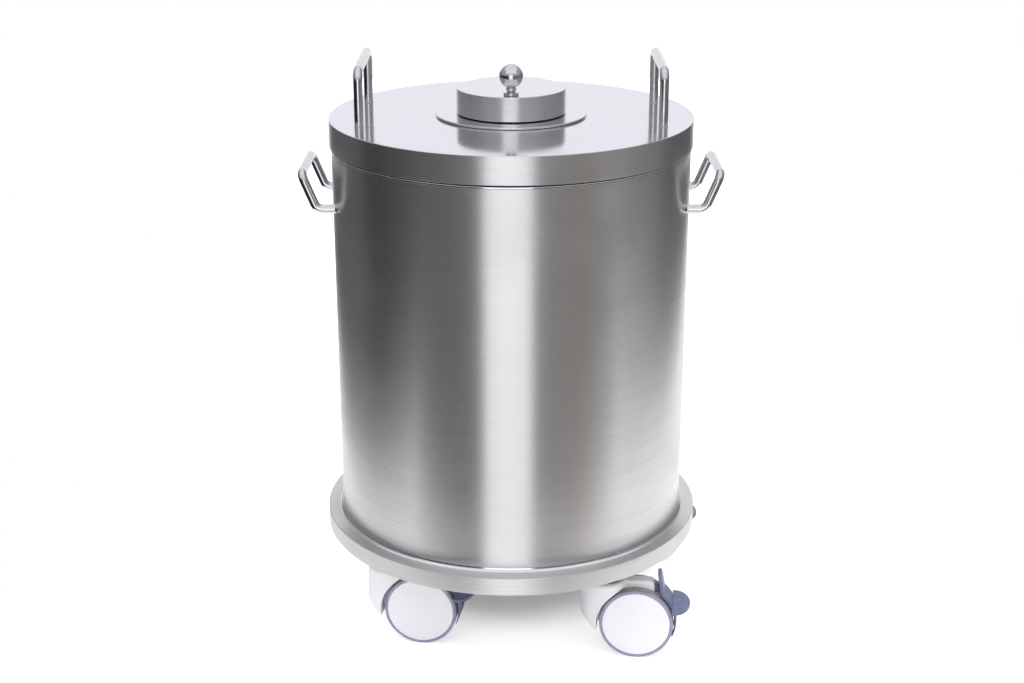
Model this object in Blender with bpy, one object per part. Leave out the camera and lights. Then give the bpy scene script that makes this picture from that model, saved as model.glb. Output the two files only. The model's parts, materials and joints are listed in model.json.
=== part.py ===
"""Shielded waste container: a lead-lined stainless drum on four casters.

The lid lifts off by its two handles. A small cap over the port in the lid tips back on a hinge.
Each caster swivels, has two wheels that roll by themselves, and a rocking lock pedal.
Metres, +Z up. The origin is on the floor under the drum's axis, and the front faces -Y.
"""

import math

import bmesh
import bpy
from mathutils import Matrix, Vector

# Fits and facets
FIT = 0.0003  # gap between pieces that touch
MERGE = 0.00001  # points nearer than this are one point
CUT_OVER = 0.004  # how far a cutter reaches past the wall that it cuts
RING_SIDES = 36  # facets round everything that is concentric with the drum
WHEEL_SIDES = 24
TURN_SIDES = 16  # facets round the knob and each caster's stem
PIN_SIDES = 10
ROD_RESOLUTION = 2  # a bent rod has four sides and two more for each step
BEND_STEPS = 3
ARC_STEPS = 4

# Casters
CASTER_HEIGHT = 0.133  # floor to the underside of the base
CASTER_INSET = 0.0587  # base edge to a stem
CASTER_SPREAD = math.radians(42.9)  # from the middle, stem to the line between left and right
CASTER_TURN = math.radians(-8.0)  # how far the stems' rectangle is turned on the base
CASTER_YAW = {
    "front_left": math.radians(-9.7),
    "front_right": math.radians(-6.5),
    "rear_left": math.radians(-3.0),
    "rear_right": math.radians(6.5),
}
TRAIL = 0.045  # stem to axle
WHEEL_RADIUS = 0.050
WHEEL_WIDTH = 0.0155
WHEEL_DISC_BULGE = 0.0006
TYRE_DEPTH = 0.0041
TYRE_ROUND = 0.0015
WHEEL_GAP = 0.001  # between a wheel and the hood
AXLE_RADIUS = 0.005
AXLE_COVER = 0.005  # wheel material over the end of the axle
MOUNT_RADIUS = 0.026
MOUNT_THICK = 0.0234
KINGPIN_RADIUS = 0.006
KINGPIN_LENGTH = 0.018
TURRET_RADIUS = 0.032
TURRET_ROUND = 0.003
NOSE_SHOULDER = 0.0099  # axle up to where the front starts to slant
NOSE_DROP = 0.0096  # axle down to the nose's lower edge
NOSE_SLANT = 0.0225  # how far the slant draws back
ARCH_GAP = 0.004  # between a tyre and the wheel arch
HOOD_WIDTH = 0.019
HOOD_ROOT = 0.003  # how deep the hood runs into the turret
HOOD_FRONT_DROP = 0.001
HOOD_REACH = 0.024  # axle to the hood's rear end, along the floor
HOOD_RISE = 0.057  # axle to the hood's rear top corner
HOOD_END_HEIGHT = 0.021
HOOD_ROUND = 0.007
BOSS_RADIUS = 0.012  # round the axle

# Lock pedal, measured from the axle
PIVOT_REACH = 0.014
PIVOT_RISE = 0.045
PIVOT_RADIUS = 0.0025
PIVOT_LENGTH = 0.014
LUG_RADIUS = 0.006
LUG_WIDTH = 0.0075
LUG_ARM = 0.008
LUG_PLAY = 0.001
LUG_SWING_ROOM = 0.006  # under the lug, where its arm leaves the hood
PEDAL_GAP = 0.0025  # between a tyre and the pedal
PEDAL_THICK = 0.0045  # of the tongue and the fin
GUARD_THICK = 0.0032  # of the prongs and the curve above them
PEDAL_WIDTH = 0.038
PRONG_GAP = 0.014
PRONG_LOW = math.radians(-22)  # where the prongs end, round the axle
FIN_LOW = math.radians(52)  # where the release fin starts
FIN_LENGTH = 0.0285
FIN_LEAN = math.radians(10)
FIN_WIDTH = 0.034
TONGUE_RISE = 0.025
TONGUE_REACH = 0.072
TONGUE_WIDTH = 0.066
TONGUE_ROUND = 0.021  # length of the tongue's round end

# Base and drum
BASE_LEDGE = 0.021  # how far the base stands out from the drum
BASE_THICK = 0.024
BASE_EDGE = 0.0015
BEAD_SIZE = 0.0055
BEAD_LAND = 0.0006
BEAD_STEPS = 2
DRUM_RADIUS = 0.239
DRUM_HEIGHT = 0.515
SHELL_WALL = 0.002
LEAD_WALL = 0.010
LEAD_FLOOR = 0.010
LINER_WALL = 0.0015
RIM_THICK = 0.0027
RIM_EDGE = 0.0006
LID_SEAL_THICK = 0.0014
LID_SEAL_WIDTH = 0.010
LID_SEAL_INSET = 0.0015

# Lid and port
LID_OVERHANG = 0.0025
LID_HEIGHT = 0.0365
LID_WALL = 0.002
LID_EDGE = 0.0008
LID_LEAD = 0.010
LID_LIP_DEPTH = 0.012
LID_LIP_WALL = 0.0015
LID_LIP_PLAY = 0.003
PORT_RADIUS = 0.060
PORT_SLEEVE_WALL = 0.0017
COLLAR_THICK = 0.0027
COLLAR_LEDGE = 0.0277  # how far the collar stands out from the cap
COLLAR_EDGE = 0.001
CAP_OVERLAP = 0.0126  # how far the cap stands over the port's edge
CAP_HEIGHT = 0.0321
CAP_WALL = 0.002
CAP_EDGE = 0.0008
CAP_LEAD = 0.010
CAP_SEAL_THICK = 0.0008
CAP_SEAL_INSET = 0.0025
CAP_SEAL_WIDTH = 0.006
PLUG_PLAY = 0.004
PLUG_DEPTH = 0.010
KNOB_INSET = 0.0176  # knob's axis from the cap's front edge
KNOB_RADIUS = 0.0155
KNOB_HEIGHT = 0.0397
KNOB_NECK_RADIUS = 0.0066
KNOB_FOOT_RADIUS = 0.010
KNOB_FOOT_HEIGHT = 0.0022
STUD_RADIUS = 0.004
STUD_IN_KNOB = 0.014
STUD_IN_CAP = 0.008

# Cap hinge
HINGE_REACH = 0.0134  # cap's rear edge to the hinge axis
HINGE_RISE = 0.0105  # collar to the hinge axis
HINGE_EYE = 0.0065
HINGE_PIN_RADIUS = 0.003
HINGE_STRAP_WIDTH = 0.017
HINGE_SIDE_PLAY = 0.0005
HINGE_CHEEK = 0.005
HINGE_FOOT_THICK = 0.003
HINGE_PIN_END = 0.0015

# Handles
ROD_RADIUS = 0.006
LID_HANDLE_INSET = 0.0465  # rod's middle from the lid's edge
LID_HANDLE_LENGTH = 0.155
LID_HANDLE_HEIGHT = 0.0765
LID_HANDLE_BEND = 0.013
SIDE_HANDLE_LENGTH = 0.120
SIDE_HANDLE_DROP = 0.075  # legs below the rim
SIDE_HANDLE_LEG = 0.0165  # leg's reach from the drum's widest point
SIDE_HANDLE_RISE = 0.046
SIDE_HANDLE_FLARE = 0.0191
SIDE_HANDLE_BEND = 0.011

# Levels that follow from the sizes above
BASE_TOP = CASTER_HEIGHT + BASE_THICK
DRUM_TOP = BASE_TOP + DRUM_HEIGHT
RIM_LOW = DRUM_TOP - RIM_THICK
WALL_TOP = RIM_LOW - FIT
LID_LOW = DRUM_TOP + LID_SEAL_THICK + 2 * FIT
LID_TOP = LID_LOW + LID_HEIGHT
COLLAR_TOP = LID_TOP + FIT + COLLAR_THICK
CAP_LOW = COLLAR_TOP + CAP_SEAL_THICK + 2 * FIT
CAP_TOP = CAP_LOW + CAP_HEIGHT
MOUNT_LOW = CASTER_HEIGHT - FIT - MOUNT_THICK
TURRET_TOP = MOUNT_LOW - FIT

# Radii that follow from the sizes above
BASE_RADIUS = DRUM_RADIUS + BASE_LEDGE
LEAD_OUTER = DRUM_RADIUS - SHELL_WALL - FIT
LEAD_INNER = LEAD_OUTER - LEAD_WALL
LINER_OUTER = LEAD_INNER - FIT
LINER_INNER = LINER_OUTER - LINER_WALL
LID_RADIUS = DRUM_RADIUS + LID_OVERHANG
LID_INNER = LID_RADIUS - LID_WALL - FIT
PORT_HOLE = PORT_RADIUS + PORT_SLEEVE_WALL + FIT
CAP_RADIUS = PORT_RADIUS + CAP_OVERLAP
CAP_INNER = CAP_RADIUS - CAP_WALL - FIT
COLLAR_RADIUS = CAP_RADIUS + COLLAR_LEDGE

# Places on the cap and round a caster's stem that follow from the sizes above
KNOB_PLACE = Vector((0.0, KNOB_INSET - CAP_RADIUS, CAP_TOP + FIT))
HINGE_AXIS = Vector((0.0, CAP_RADIUS + HINGE_REACH, COLLAR_TOP + HINGE_RISE))
AXLE = Vector((TRAIL, 0.0, WHEEL_RADIUS))
PIVOT = AXLE + Vector((PIVOT_REACH, 0.0, PIVOT_RISE))
WHEEL_MIDDLE = HOOD_WIDTH / 2 + WHEEL_GAP + WHEEL_WIDTH / 2

# Turns that lay a shape made along Z or Y in another direction
Z_TO_X = Matrix.Rotation(math.pi / 2, 4, "Y")
Z_TO_Y = Matrix.Rotation(-math.pi / 2, 4, "X")
X_TO_Y = Matrix.Rotation(math.pi / 2, 4, "Z")
FLAT_DOWN = Z_TO_Y @ Matrix.Rotation(math.pi / WHEEL_SIDES, 4, "Z")


def clear_scene():
    for leftover in list(bpy.data.objects):
        bpy.data.objects.remove(leftover)


def finish(name, colour, roughness, metallic):
    """A Principled material."""
    material = bpy.data.materials.new(name)
    material.use_nodes = True
    shader = material.node_tree.nodes["Principled BSDF"]
    shader.inputs["Base Color"].default_value = (*colour, 1.0)
    shader.inputs["Roughness"].default_value = roughness
    shader.inputs["Metallic"].default_value = metallic
    return material


def finished_mesh(name, shape):
    """The mesh of a bmesh, closed, facing out and shaded smooth apart from its sharp edges."""
    bmesh.ops.remove_doubles(shape, verts=shape.verts, dist=MERGE)
    bmesh.ops.recalc_face_normals(shape, faces=shape.faces)
    mesh = bpy.data.meshes.new(name)
    shape.to_mesh(mesh)
    shape.free()
    mesh.shade_smooth()
    mesh.set_sharp_from_angle(angle=math.radians(35))
    return mesh


def turned(name, section, sides, place=None):
    """A solid turned about Z from (radius, height) points that run round its section."""
    shape = bmesh.new()
    points = [shape.verts.new((radius, 0.0, height)) for radius, height in section]
    pairs = list(zip(points, points[1:]))
    if section[0][0] > 0 or section[-1][0] > 0:
        pairs.append((points[-1], points[0]))
    edges = [shape.edges.new(pair) for pair in pairs]
    bmesh.ops.spin(
        shape,
        geom=points + edges,
        cent=(0, 0, 0),
        axis=(0, 0, 1),
        angle=math.tau,
        steps=sides,
        use_merge=True,
    )
    if place:
        bmesh.ops.transform(shape, matrix=place, verts=shape.verts)
    return finished_mesh(name, shape)


def ring(name, inner, outer, low, high):
    """A plain ring with a square section."""
    section = [(inner, high), (outer, high), (outer, low), (inner, low)]
    return turned(name, section, RING_SIDES)


def pin(name, radius, length, place, sides=PIN_SIDES):
    """A round bar, centred on its place and lying as its place turns it from Z."""
    section = [(0, length / 2), (radius, length / 2), (radius, -length / 2), (0, -length / 2)]
    return turned(name, section, sides, place)


def slab(name, outline, width, place=None):
    """An outline of (x, z) points made into a solid of this width, centred on y = 0."""
    shape = bmesh.new()
    face = shape.faces.new([shape.verts.new((x, -width / 2, z)) for x, z in outline])
    pushed = bmesh.ops.extrude_face_region(shape, geom=[face])["geom"]
    moved = [part for part in pushed if isinstance(part, bmesh.types.BMVert)]
    bmesh.ops.translate(shape, verts=moved, vec=(0, width, 0))
    if place:
        bmesh.ops.transform(shape, matrix=place, verts=shape.verts)
    return finished_mesh(name, shape)


def arc(centre, radius, start, end, steps=ARC_STEPS):
    """(x, z) points along an arc, both ends included."""
    angles = [start + (end - start) * step / steps for step in range(steps + 1)]
    return [(centre[0] + radius * math.cos(a), centre[1] + radius * math.sin(a)) for a in angles]


def rounded_path(corners, radius):
    """Points along straight runs joined by arcs of one bend radius."""
    path = [corners[0]]
    for before, corner, after in zip(corners, corners[1:], corners[2:]):
        back = (before - corner).normalized()
        ahead = (after - corner).normalized()
        half = back.angle(ahead) / 2
        centre = corner + (back + ahead).normalized() * radius / math.sin(half)
        start = corner + back * radius / math.tan(half) - centre
        turn_axis = back.cross(-ahead)
        for step in range(BEND_STEPS + 1):
            turn = Matrix.Rotation((math.pi - 2 * half) * step / BEND_STEPS, 3, turn_axis)
            path.append(centre + turn @ start)
    return path + [corners[-1]]


def bent_rod(name, corners, bend):
    """A round rod along rounded corners, with flat ends."""
    path = rounded_path(corners, bend)
    curve = bpy.data.curves.new(name, "CURVE")
    curve.dimensions = "3D"
    curve.bevel_depth = ROD_RADIUS
    curve.bevel_resolution = ROD_RESOLUTION
    curve.use_fill_caps = True
    spline = curve.splines.new("POLY")
    spline.points.add(len(path) - 1)
    for point, place in zip(spline.points, path):
        point.co = (*place, 1.0)
    holder = bpy.data.objects.new(name, curve)
    shape = bmesh.new()
    shape.from_mesh(evaluated_mesh(holder))
    bpy.data.objects.remove(holder)
    return finished_mesh(name, shape)


def evaluated_mesh(holder):
    """A mesh copy of an object with its modifiers applied."""
    bpy.context.scene.collection.objects.link(holder)
    graph = bpy.context.evaluated_depsgraph_get()
    return bpy.data.meshes.new_from_object(holder.evaluated_get(graph))


def combined(name, body, joins=(), cuts=()):
    """A body with other meshes joined to it and then others cut from it."""
    holder = bpy.data.objects.new(name, body)
    tools = []
    steps = [("UNION", mesh) for mesh in joins] + [("DIFFERENCE", mesh) for mesh in cuts]
    for operation, mesh in steps:
        tool = bpy.data.objects.new(mesh.name, mesh)
        tool.hide_render = True
        tool.display_type = "WIRE"
        bpy.context.scene.collection.objects.link(tool)
        tools.append(tool)
        step = holder.modifiers.new(mesh.name, "BOOLEAN")
        step.operation = operation
        step.solver = "EXACT"
        step.object = tool
    shape = bmesh.new()
    shape.from_mesh(evaluated_mesh(holder))
    for helper in [holder, *tools]:
        bpy.data.objects.remove(helper)
    return finished_mesh(name, shape)


def empty(name, place, yaw=0.0, parent=None):
    """A frame to hang pieces on, with its origin on a joint's axis."""
    frame = bpy.data.objects.new(name, None)
    frame.location = place
    frame.rotation_euler.z = yaw
    frame.parent = parent
    bpy.context.scene.collection.objects.link(frame)
    return frame


def piece(name, mesh, material, parent, place=(0, 0, 0)):
    """A named piece of the container. Copies of a piece share its mesh."""
    if not mesh.materials:
        mesh.materials.append(material)
    made = bpy.data.objects.new(name, mesh)
    made.location = place
    made.parent = parent
    bpy.context.scene.collection.objects.link(made)
    return made


def base_plate():
    """The base disc with the fillet bead that runs round the drum's foot."""
    bead_inner = DRUM_RADIUS + FIT
    bead_top = BASE_TOP + BEAD_SIZE
    bead_centre = (bead_inner + BEAD_LAND + BEAD_SIZE, bead_top)
    bead = arc(bead_centre, BEAD_SIZE, math.pi, 1.5 * math.pi, BEAD_STEPS)
    section = [
        (0, BASE_TOP),
        (bead_inner, BASE_TOP),
        (bead_inner, bead_top),
        *bead,
        (BASE_RADIUS - BASE_EDGE, BASE_TOP),
        (BASE_RADIUS, BASE_TOP - BASE_EDGE),
        (BASE_RADIUS, CASTER_HEIGHT + BASE_EDGE),
        (BASE_RADIUS - BASE_EDGE, CASTER_HEIGHT),
        (0, CASTER_HEIGHT),
    ]
    return turned("base_plate", section, RING_SIDES)


def inner_liner(low):
    """The bucket inside the lead, from its underside to the rim."""
    section = [
        (0, low),
        (LINER_OUTER, low),
        (LINER_OUTER, WALL_TOP),
        (LINER_INNER, WALL_TOP),
        (LINER_INNER, low + LINER_WALL),
        (0, low + LINER_WALL),
    ]
    return turned("inner_liner", section, RING_SIDES)


def rim_ring():
    """The flat ring that closes the drum's wall, with its outer edge eased."""
    section = [
        (LINER_INNER, DRUM_TOP),
        (DRUM_RADIUS - RIM_EDGE, DRUM_TOP),
        (DRUM_RADIUS, DRUM_TOP - RIM_EDGE),
        (DRUM_RADIUS, RIM_LOW),
        (LINER_INNER, RIM_LOW),
    ]
    return turned("rim_ring", section, RING_SIDES)


def side_handle(side):
    """A rod handle whose legs are cut to the drum's curve and whose grip rises outwards."""
    half = SIDE_HANDLE_LENGTH / 2
    low = DRUM_TOP - SIDE_HANDLE_DROP
    high = low + SIDE_HANDLE_RISE
    root = side * (DRUM_RADIUS - SIDE_HANDLE_LENGTH / 4)
    knee = side * (DRUM_RADIUS + SIDE_HANDLE_LEG)
    grip = side * (DRUM_RADIUS + SIDE_HANDLE_LEG + SIDE_HANDLE_FLARE)
    near = [(root, -half, low), (knee, -half, low), (grip, -half, high)]
    far = [(x, -y, z) for x, y, z in reversed(near)]
    rod = bent_rod("side_rod", [Vector(corner) for corner in near + far], SIDE_HANDLE_BEND)
    section = [
        (0, high),
        (DRUM_RADIUS + FIT, high),
        (DRUM_RADIUS + FIT, low - ROD_RADIUS - CUT_OVER),
        (0, low - ROD_RADIUS - CUT_OVER),
    ]
    drum = turned("drum_cutter", section, RING_SIDES)
    return combined("side_handle", rod, cuts=[drum])


def lid_shell():
    """The lid's cover: a top with a deep skirt and the hole for the port."""
    section = [
        (PORT_HOLE, LID_TOP),
        (LID_RADIUS - LID_EDGE, LID_TOP),
        (LID_RADIUS, LID_TOP - LID_EDGE),
        (LID_RADIUS, LID_LOW),
        (LID_RADIUS - LID_WALL, LID_LOW),
        (LID_RADIUS - LID_WALL, LID_TOP - LID_WALL),
        (PORT_HOLE, LID_TOP - LID_WALL),
    ]
    return turned("lid_shell", section, RING_SIDES)


def lid_underplate():
    """The plate that closes the lid, with the lip that centres it in the drum's mouth."""
    lip_outer = LINER_INNER - LID_LIP_PLAY
    lip_inner = lip_outer - LID_LIP_WALL
    section = [
        (PORT_HOLE, LID_LOW + LID_WALL),
        (LID_INNER, LID_LOW + LID_WALL),
        (LID_INNER, LID_LOW),
        (lip_outer, LID_LOW),
        (lip_outer, LID_LOW - LID_LIP_DEPTH),
        (lip_inner, LID_LOW - LID_LIP_DEPTH),
        (lip_inner, LID_LOW),
        (PORT_HOLE, LID_LOW),
    ]
    return turned("lid_underplate", section, RING_SIDES)


def lid_handle(side):
    """An upright rod handle that stands on the lid."""
    x = side * (LID_RADIUS - LID_HANDLE_INSET)
    half = LID_HANDLE_LENGTH / 2
    foot = LID_TOP + FIT
    top = LID_TOP + LID_HANDLE_HEIGHT - ROD_RADIUS
    corners = [(x, -half, foot), (x, -half, top), (x, half, top), (x, half, foot)]
    return bent_rod("lid_handle", [Vector(corner) for corner in corners], LID_HANDLE_BEND)


def port_collar():
    """The thin ring round the port, with its outer edge eased."""
    section = [
        (PORT_HOLE, COLLAR_TOP),
        (COLLAR_RADIUS - COLLAR_EDGE, COLLAR_TOP),
        (COLLAR_RADIUS, COLLAR_TOP - COLLAR_EDGE),
        (COLLAR_RADIUS, LID_TOP + FIT),
        (PORT_HOLE, LID_TOP + FIT),
    ]
    return turned("port_collar", section, RING_SIDES)


def cap_shell():
    """The cap's cover, with a hole for the knob's stud."""
    section = [
        (0, CAP_TOP),
        (CAP_RADIUS - CAP_EDGE, CAP_TOP),
        (CAP_RADIUS, CAP_TOP - CAP_EDGE),
        (CAP_RADIUS, CAP_LOW),
        (CAP_RADIUS - CAP_WALL, CAP_LOW),
        (CAP_RADIUS - CAP_WALL, CAP_TOP - CAP_WALL),
        (0, CAP_TOP - CAP_WALL),
    ]
    cover = turned("cap_cover", section, RING_SIDES)
    middle = Matrix.Translation(KNOB_PLACE - Vector((0, 0, CAP_WALL / 2)))
    hole = pin("stud_hole", STUD_RADIUS + FIT, CAP_WALL + 2 * CUT_OVER, middle)
    return combined("cap_shell", cover, cuts=[hole])


def cap_plug():
    """The turned plug that closes the cap from below and enters the port."""
    plug_radius = PORT_RADIUS - PLUG_PLAY
    section = [
        (0, CAP_LOW + CAP_WALL),
        (CAP_INNER, CAP_LOW + CAP_WALL),
        (CAP_INNER, CAP_LOW),
        (plug_radius, CAP_LOW),
        (plug_radius, CAP_LOW - PLUG_DEPTH),
        (0, CAP_LOW - PLUG_DEPTH),
    ]
    return turned("cap_plug", section, RING_SIDES)


def ball_knob():
    """The ball on its neck and flared foot, bored for its stud. Its origin is under the foot."""
    centre = (0, KNOB_HEIGHT - KNOB_RADIUS)
    neck_angle = -math.acos(KNOB_NECK_RADIUS / KNOB_RADIUS)
    bore = STUD_RADIUS + FIT
    section = [
        *arc(centre, KNOB_RADIUS, math.pi / 2, neck_angle, 8),
        (KNOB_NECK_RADIUS, 2 * KNOB_FOOT_HEIGHT),
        (KNOB_FOOT_RADIUS, KNOB_FOOT_HEIGHT),
        (KNOB_FOOT_RADIUS, 0),
        (bore, 0),
        (bore, STUD_IN_KNOB + FIT),
        (0, STUD_IN_KNOB + FIT),
    ]
    section[0] = (0, KNOB_HEIGHT)
    return turned("ball_knob", section, TURN_SIDES)


def hinge_bracket():
    """Two cheeks on a foot behind the cap, bored for the hinge pin."""
    foot_low = COLLAR_TOP + FIT
    foot_top = foot_low + HINGE_FOOT_THICK
    y, z = HINGE_AXIS.y, HINGE_AXIS.z
    cheek_inner = HINGE_STRAP_WIDTH / 2 + HINGE_SIDE_PLAY
    width = 2 * (cheek_inner + HINGE_CHEEK)
    half_foot = HINGE_EYE + HINGE_FOOT_THICK
    outline = [
        (y - half_foot, foot_low),
        (y + half_foot, foot_low),
        (y + half_foot, foot_top),
        *arc((y, z), HINGE_EYE, 0, math.pi),
        (y - half_foot, foot_top),
    ]
    block = slab("cheeks", outline, width, X_TO_Y)
    gap = [
        (y - half_foot - CUT_OVER, foot_top),
        (y + half_foot + CUT_OVER, foot_top),
        (y + half_foot + CUT_OVER, z + HINGE_EYE + CUT_OVER),
        (y - half_foot - CUT_OVER, z + HINGE_EYE + CUT_OVER),
    ]
    slot = slab("strap_gap", gap, 2 * cheek_inner, X_TO_Y)
    lying = Matrix.Translation(HINGE_AXIS) @ Z_TO_X
    hole = pin("bracket_hole", HINGE_PIN_RADIUS + FIT, width + 2 * CUT_OVER, lying)
    return combined("hinge_bracket", block, cuts=[slot, hole])


def hinge_strap():
    """The eye on the hinge pin and the arm that is cut to the cap's side. Its origin is on the pin."""
    outline = [
        (-HINGE_REACH - CUT_OVER, -HINGE_EYE),
        *arc((0, 0), HINGE_EYE, -math.pi / 2, math.pi / 2),
        (-HINGE_REACH - CUT_OVER, HINGE_EYE),
    ]
    arm = slab("strap_arm", outline, HINGE_STRAP_WIDTH, X_TO_Y)
    hole = pin("strap_hole", HINGE_PIN_RADIUS + FIT, HINGE_STRAP_WIDTH + 2 * CUT_OVER, Z_TO_X)
    reach = HINGE_EYE + CUT_OVER
    section = [(0, reach), (CAP_RADIUS + FIT, reach), (CAP_RADIUS + FIT, -reach), (0, -reach)]
    to_cap = Matrix.Translation((0, -HINGE_AXIS.y, 0))
    cap = turned("cap_cutter", section, RING_SIDES, to_cap)
    return combined("hinge_strap", arm, cuts=[hole, cap])


def swivel_mount():
    """The boss under the base with the kingpin that a caster turns on."""
    top = CASTER_HEIGHT - FIT
    section = [
        (0, top),
        (MOUNT_RADIUS, top),
        (MOUNT_RADIUS, MOUNT_LOW),
        (KINGPIN_RADIUS, MOUNT_LOW),
        (KINGPIN_RADIUS, MOUNT_LOW - KINGPIN_LENGTH),
        (0, MOUNT_LOW - KINGPIN_LENGTH),
    ]
    return turned("swivel_mount", section, TURN_SIDES)


def hood_outline():
    """Side view of the hood between the wheels: the turret's root, the rear end and the axle boss."""
    axle = (AXLE.x, AXLE.z)
    root_radius = WHEEL_RADIUS + ARCH_GAP + HOOD_ROOT
    root_x = KINGPIN_RADIUS + FIT + HOOD_ROOT
    root_high = math.pi - math.acos((AXLE.x - root_x) / root_radius)
    root_low = math.pi + math.asin((NOSE_DROP - HOOD_ROOT) / root_radius)
    end_x = AXLE.x + HOOD_REACH
    end_top = AXLE.z + HOOD_RISE
    top = [
        (root_x, TURRET_TOP - HOOD_FRONT_DROP),
        (end_x, end_top),
        (end_x, end_top - HOOD_END_HEIGHT),
        (AXLE.x + BOSS_RADIUS, AXLE.z),
    ]
    rounded = rounded_path([Vector((x, 0, z)) for x, z in top], HOOD_ROUND)
    boss = arc(axle, BOSS_RADIUS, 0, -math.pi / 2)
    root = arc(axle, root_radius, root_low, root_high)
    return [(point.x, point.z) for point in rounded[:-1]] + boss + root


def caster_housing():
    """A turret cut back to a slanted nose and an arch over the wheels, with a hood between them."""
    nose_low = AXLE.z - NOSE_DROP
    bore = KINGPIN_RADIUS + FIT
    section = [
        (0, nose_low),
        (TURRET_RADIUS, nose_low),
        (TURRET_RADIUS, TURRET_TOP - TURRET_ROUND),
        (TURRET_RADIUS - TURRET_ROUND, TURRET_TOP),
        (bore, TURRET_TOP),
        (bore, TURRET_TOP - KINGPIN_LENGTH - FIT),
        (0, TURRET_TOP - KINGPIN_LENGTH - FIT),
    ]
    turret = turned("turret", section, TURN_SIDES)
    across = 2 * (TURRET_RADIUS + CUT_OVER)
    shoulder = Vector((-TURRET_RADIUS, AXLE.z + NOSE_SHOULDER))
    tip = Vector((NOSE_SLANT - TURRET_RADIUS, nose_low))
    past = (tip - shoulder) / 2
    start = shoulder - past
    end = tip + past
    slant = slab("nose_cutter", [tuple(start), (start.x, end.y), tuple(end)], across)
    on_axle = Matrix.Translation(AXLE) @ Z_TO_Y
    arch = pin("arch_cutter", WHEEL_RADIUS + ARCH_GAP, across, on_axle, WHEEL_SIDES)
    nose = combined("nose", turret, cuts=[slant, arch])
    hood = slab("hood", hood_outline(), HOOD_WIDTH)
    back = PIVOT.x - LUG_RADIUS - LUG_PLAY
    open_end = AXLE.x + HOOD_REACH + CUT_OVER
    low = PIVOT.z - LUG_RADIUS - LUG_SWING_ROOM
    high = PIVOT.z + LUG_RADIUS + LUG_PLAY
    slot = [(back, low), (open_end, low), (open_end, high), (back, high)]
    mortise = slab("lug_slot", slot, LUG_WIDTH + 2 * FIT)
    on_pivot = Matrix.Translation(PIVOT) @ Z_TO_Y
    pivot_hole = pin("pivot_hole", PIVOT_RADIUS + FIT, PIVOT_LENGTH + 2 * FIT, on_pivot)
    axle_hole = pin("axle_hole", AXLE_RADIUS + FIT, across, on_axle)
    return combined("housing", nose, joins=[hood], cuts=[mortise, pivot_hole, axle_hole])


def tongue_outline():
    """Plan of the foot tongue as (length, width) points, straight sides and a half-oval end."""
    half = TONGUE_WIDTH / 2
    rise = TONGUE_RISE - PEDAL_THICK / 2
    root = math.sqrt((WHEEL_RADIUS + PEDAL_GAP + GUARD_THICK / 3) ** 2 - rise**2)
    oval = TONGUE_REACH - TONGUE_ROUND
    angles = [math.pi * (step / (2 * ARC_STEPS) - 0.5) for step in range(2 * ARC_STEPS + 1)]
    end = [(oval + TONGUE_ROUND * math.cos(a), half * math.sin(a)) for a in angles]
    return [(root, -half), *end, (root, half)]


def lock_pedal():
    """Prongs behind the tyres, a foot tongue, a release fin and the lug. Its origin is on its pivot."""
    axle = (AXLE.x - PIVOT.x, AXLE.z - PIVOT.z)
    inner = WHEEL_RADIUS + PEDAL_GAP
    outer = inner + GUARD_THICK
    curve = arc(axle, inner, PRONG_LOW, FIN_LOW) + arc(axle, outer, FIN_LOW, PRONG_LOW)
    guard = slab("guard", curve, PEDAL_WIDTH)

    lay_flat = Matrix.Rotation(math.pi / 2, 4, "X")
    tongue_middle = axle[1] + TONGUE_RISE - PEDAL_THICK / 2
    at_tongue = Matrix.Translation((axle[0], 0, tongue_middle)) @ lay_flat
    tongue = slab("tongue", tongue_outline(), PEDAL_THICK, at_tongue)

    straight = FIN_LENGTH - FIN_WIDTH / 2
    tip = arc((0, straight), FIN_WIDTH / 2, 0, math.pi, 2 * ARC_STEPS)
    fin_outline = [(-FIN_WIDTH / 2, -GUARD_THICK), (FIN_WIDTH / 2, -GUARD_THICK), *tip]
    fin_root = arc(axle, outer, FIN_LOW, FIN_LOW, 1)[0]
    lean = Matrix.Rotation(-FIN_LEAN, 4, "Y") @ X_TO_Y
    at_fin = Matrix.Translation((fin_root[0], 0, fin_root[1])) @ lean
    fin = slab("fin", fin_outline, PEDAL_THICK, at_fin)

    to_root = math.atan2(fin_root[1], fin_root[0])
    eye = arc((0, 0), LUG_RADIUS, to_root + math.pi / 2, to_root + 1.5 * math.pi, 2 * ARC_STEPS)
    reach = Vector(fin_root)
    side = Vector((-reach.y, reach.x)).normalized() * LUG_ARM / 2
    arm = [tuple(reach - side), tuple(reach + side)]
    lug = slab("lug", [*eye, *arm], LUG_WIDTH)
    pivot = pin("pivot", PIVOT_RADIUS, PIVOT_LENGTH, Z_TO_Y)

    gap_low = axle[1] - outer
    gap_high = tongue_middle - PEDAL_THICK
    gap_near = axle[0] + inner * math.cos(FIN_LOW)
    gap_far = axle[0] + outer + CUT_OVER
    gap = [(gap_near, gap_low), (gap_far, gap_low), (gap_far, gap_high), (gap_near, gap_high)]
    prong_gap = slab("prong_gap", gap, PRONG_GAP)
    pronged = combined("pronged", guard, cuts=[prong_gap])
    return combined("pedal", pronged, joins=[tongue, fin, lug, pivot])


def wheel():
    """A wheel with a closed outer disc and a blind bore, outer face towards +Y."""
    half = WHEEL_WIDTH / 2
    rim = WHEEL_RADIUS - TYRE_DEPTH
    bore = AXLE_RADIUS + FIT
    section = [
        (0, half),
        (rim, half - WHEEL_DISC_BULGE),
        (rim, -half),
        (bore, -half),
        (bore, half - AXLE_COVER),
        (0, half - AXLE_COVER),
    ]
    return turned("wheel", section, WHEEL_SIDES, FLAT_DOWN)


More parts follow.
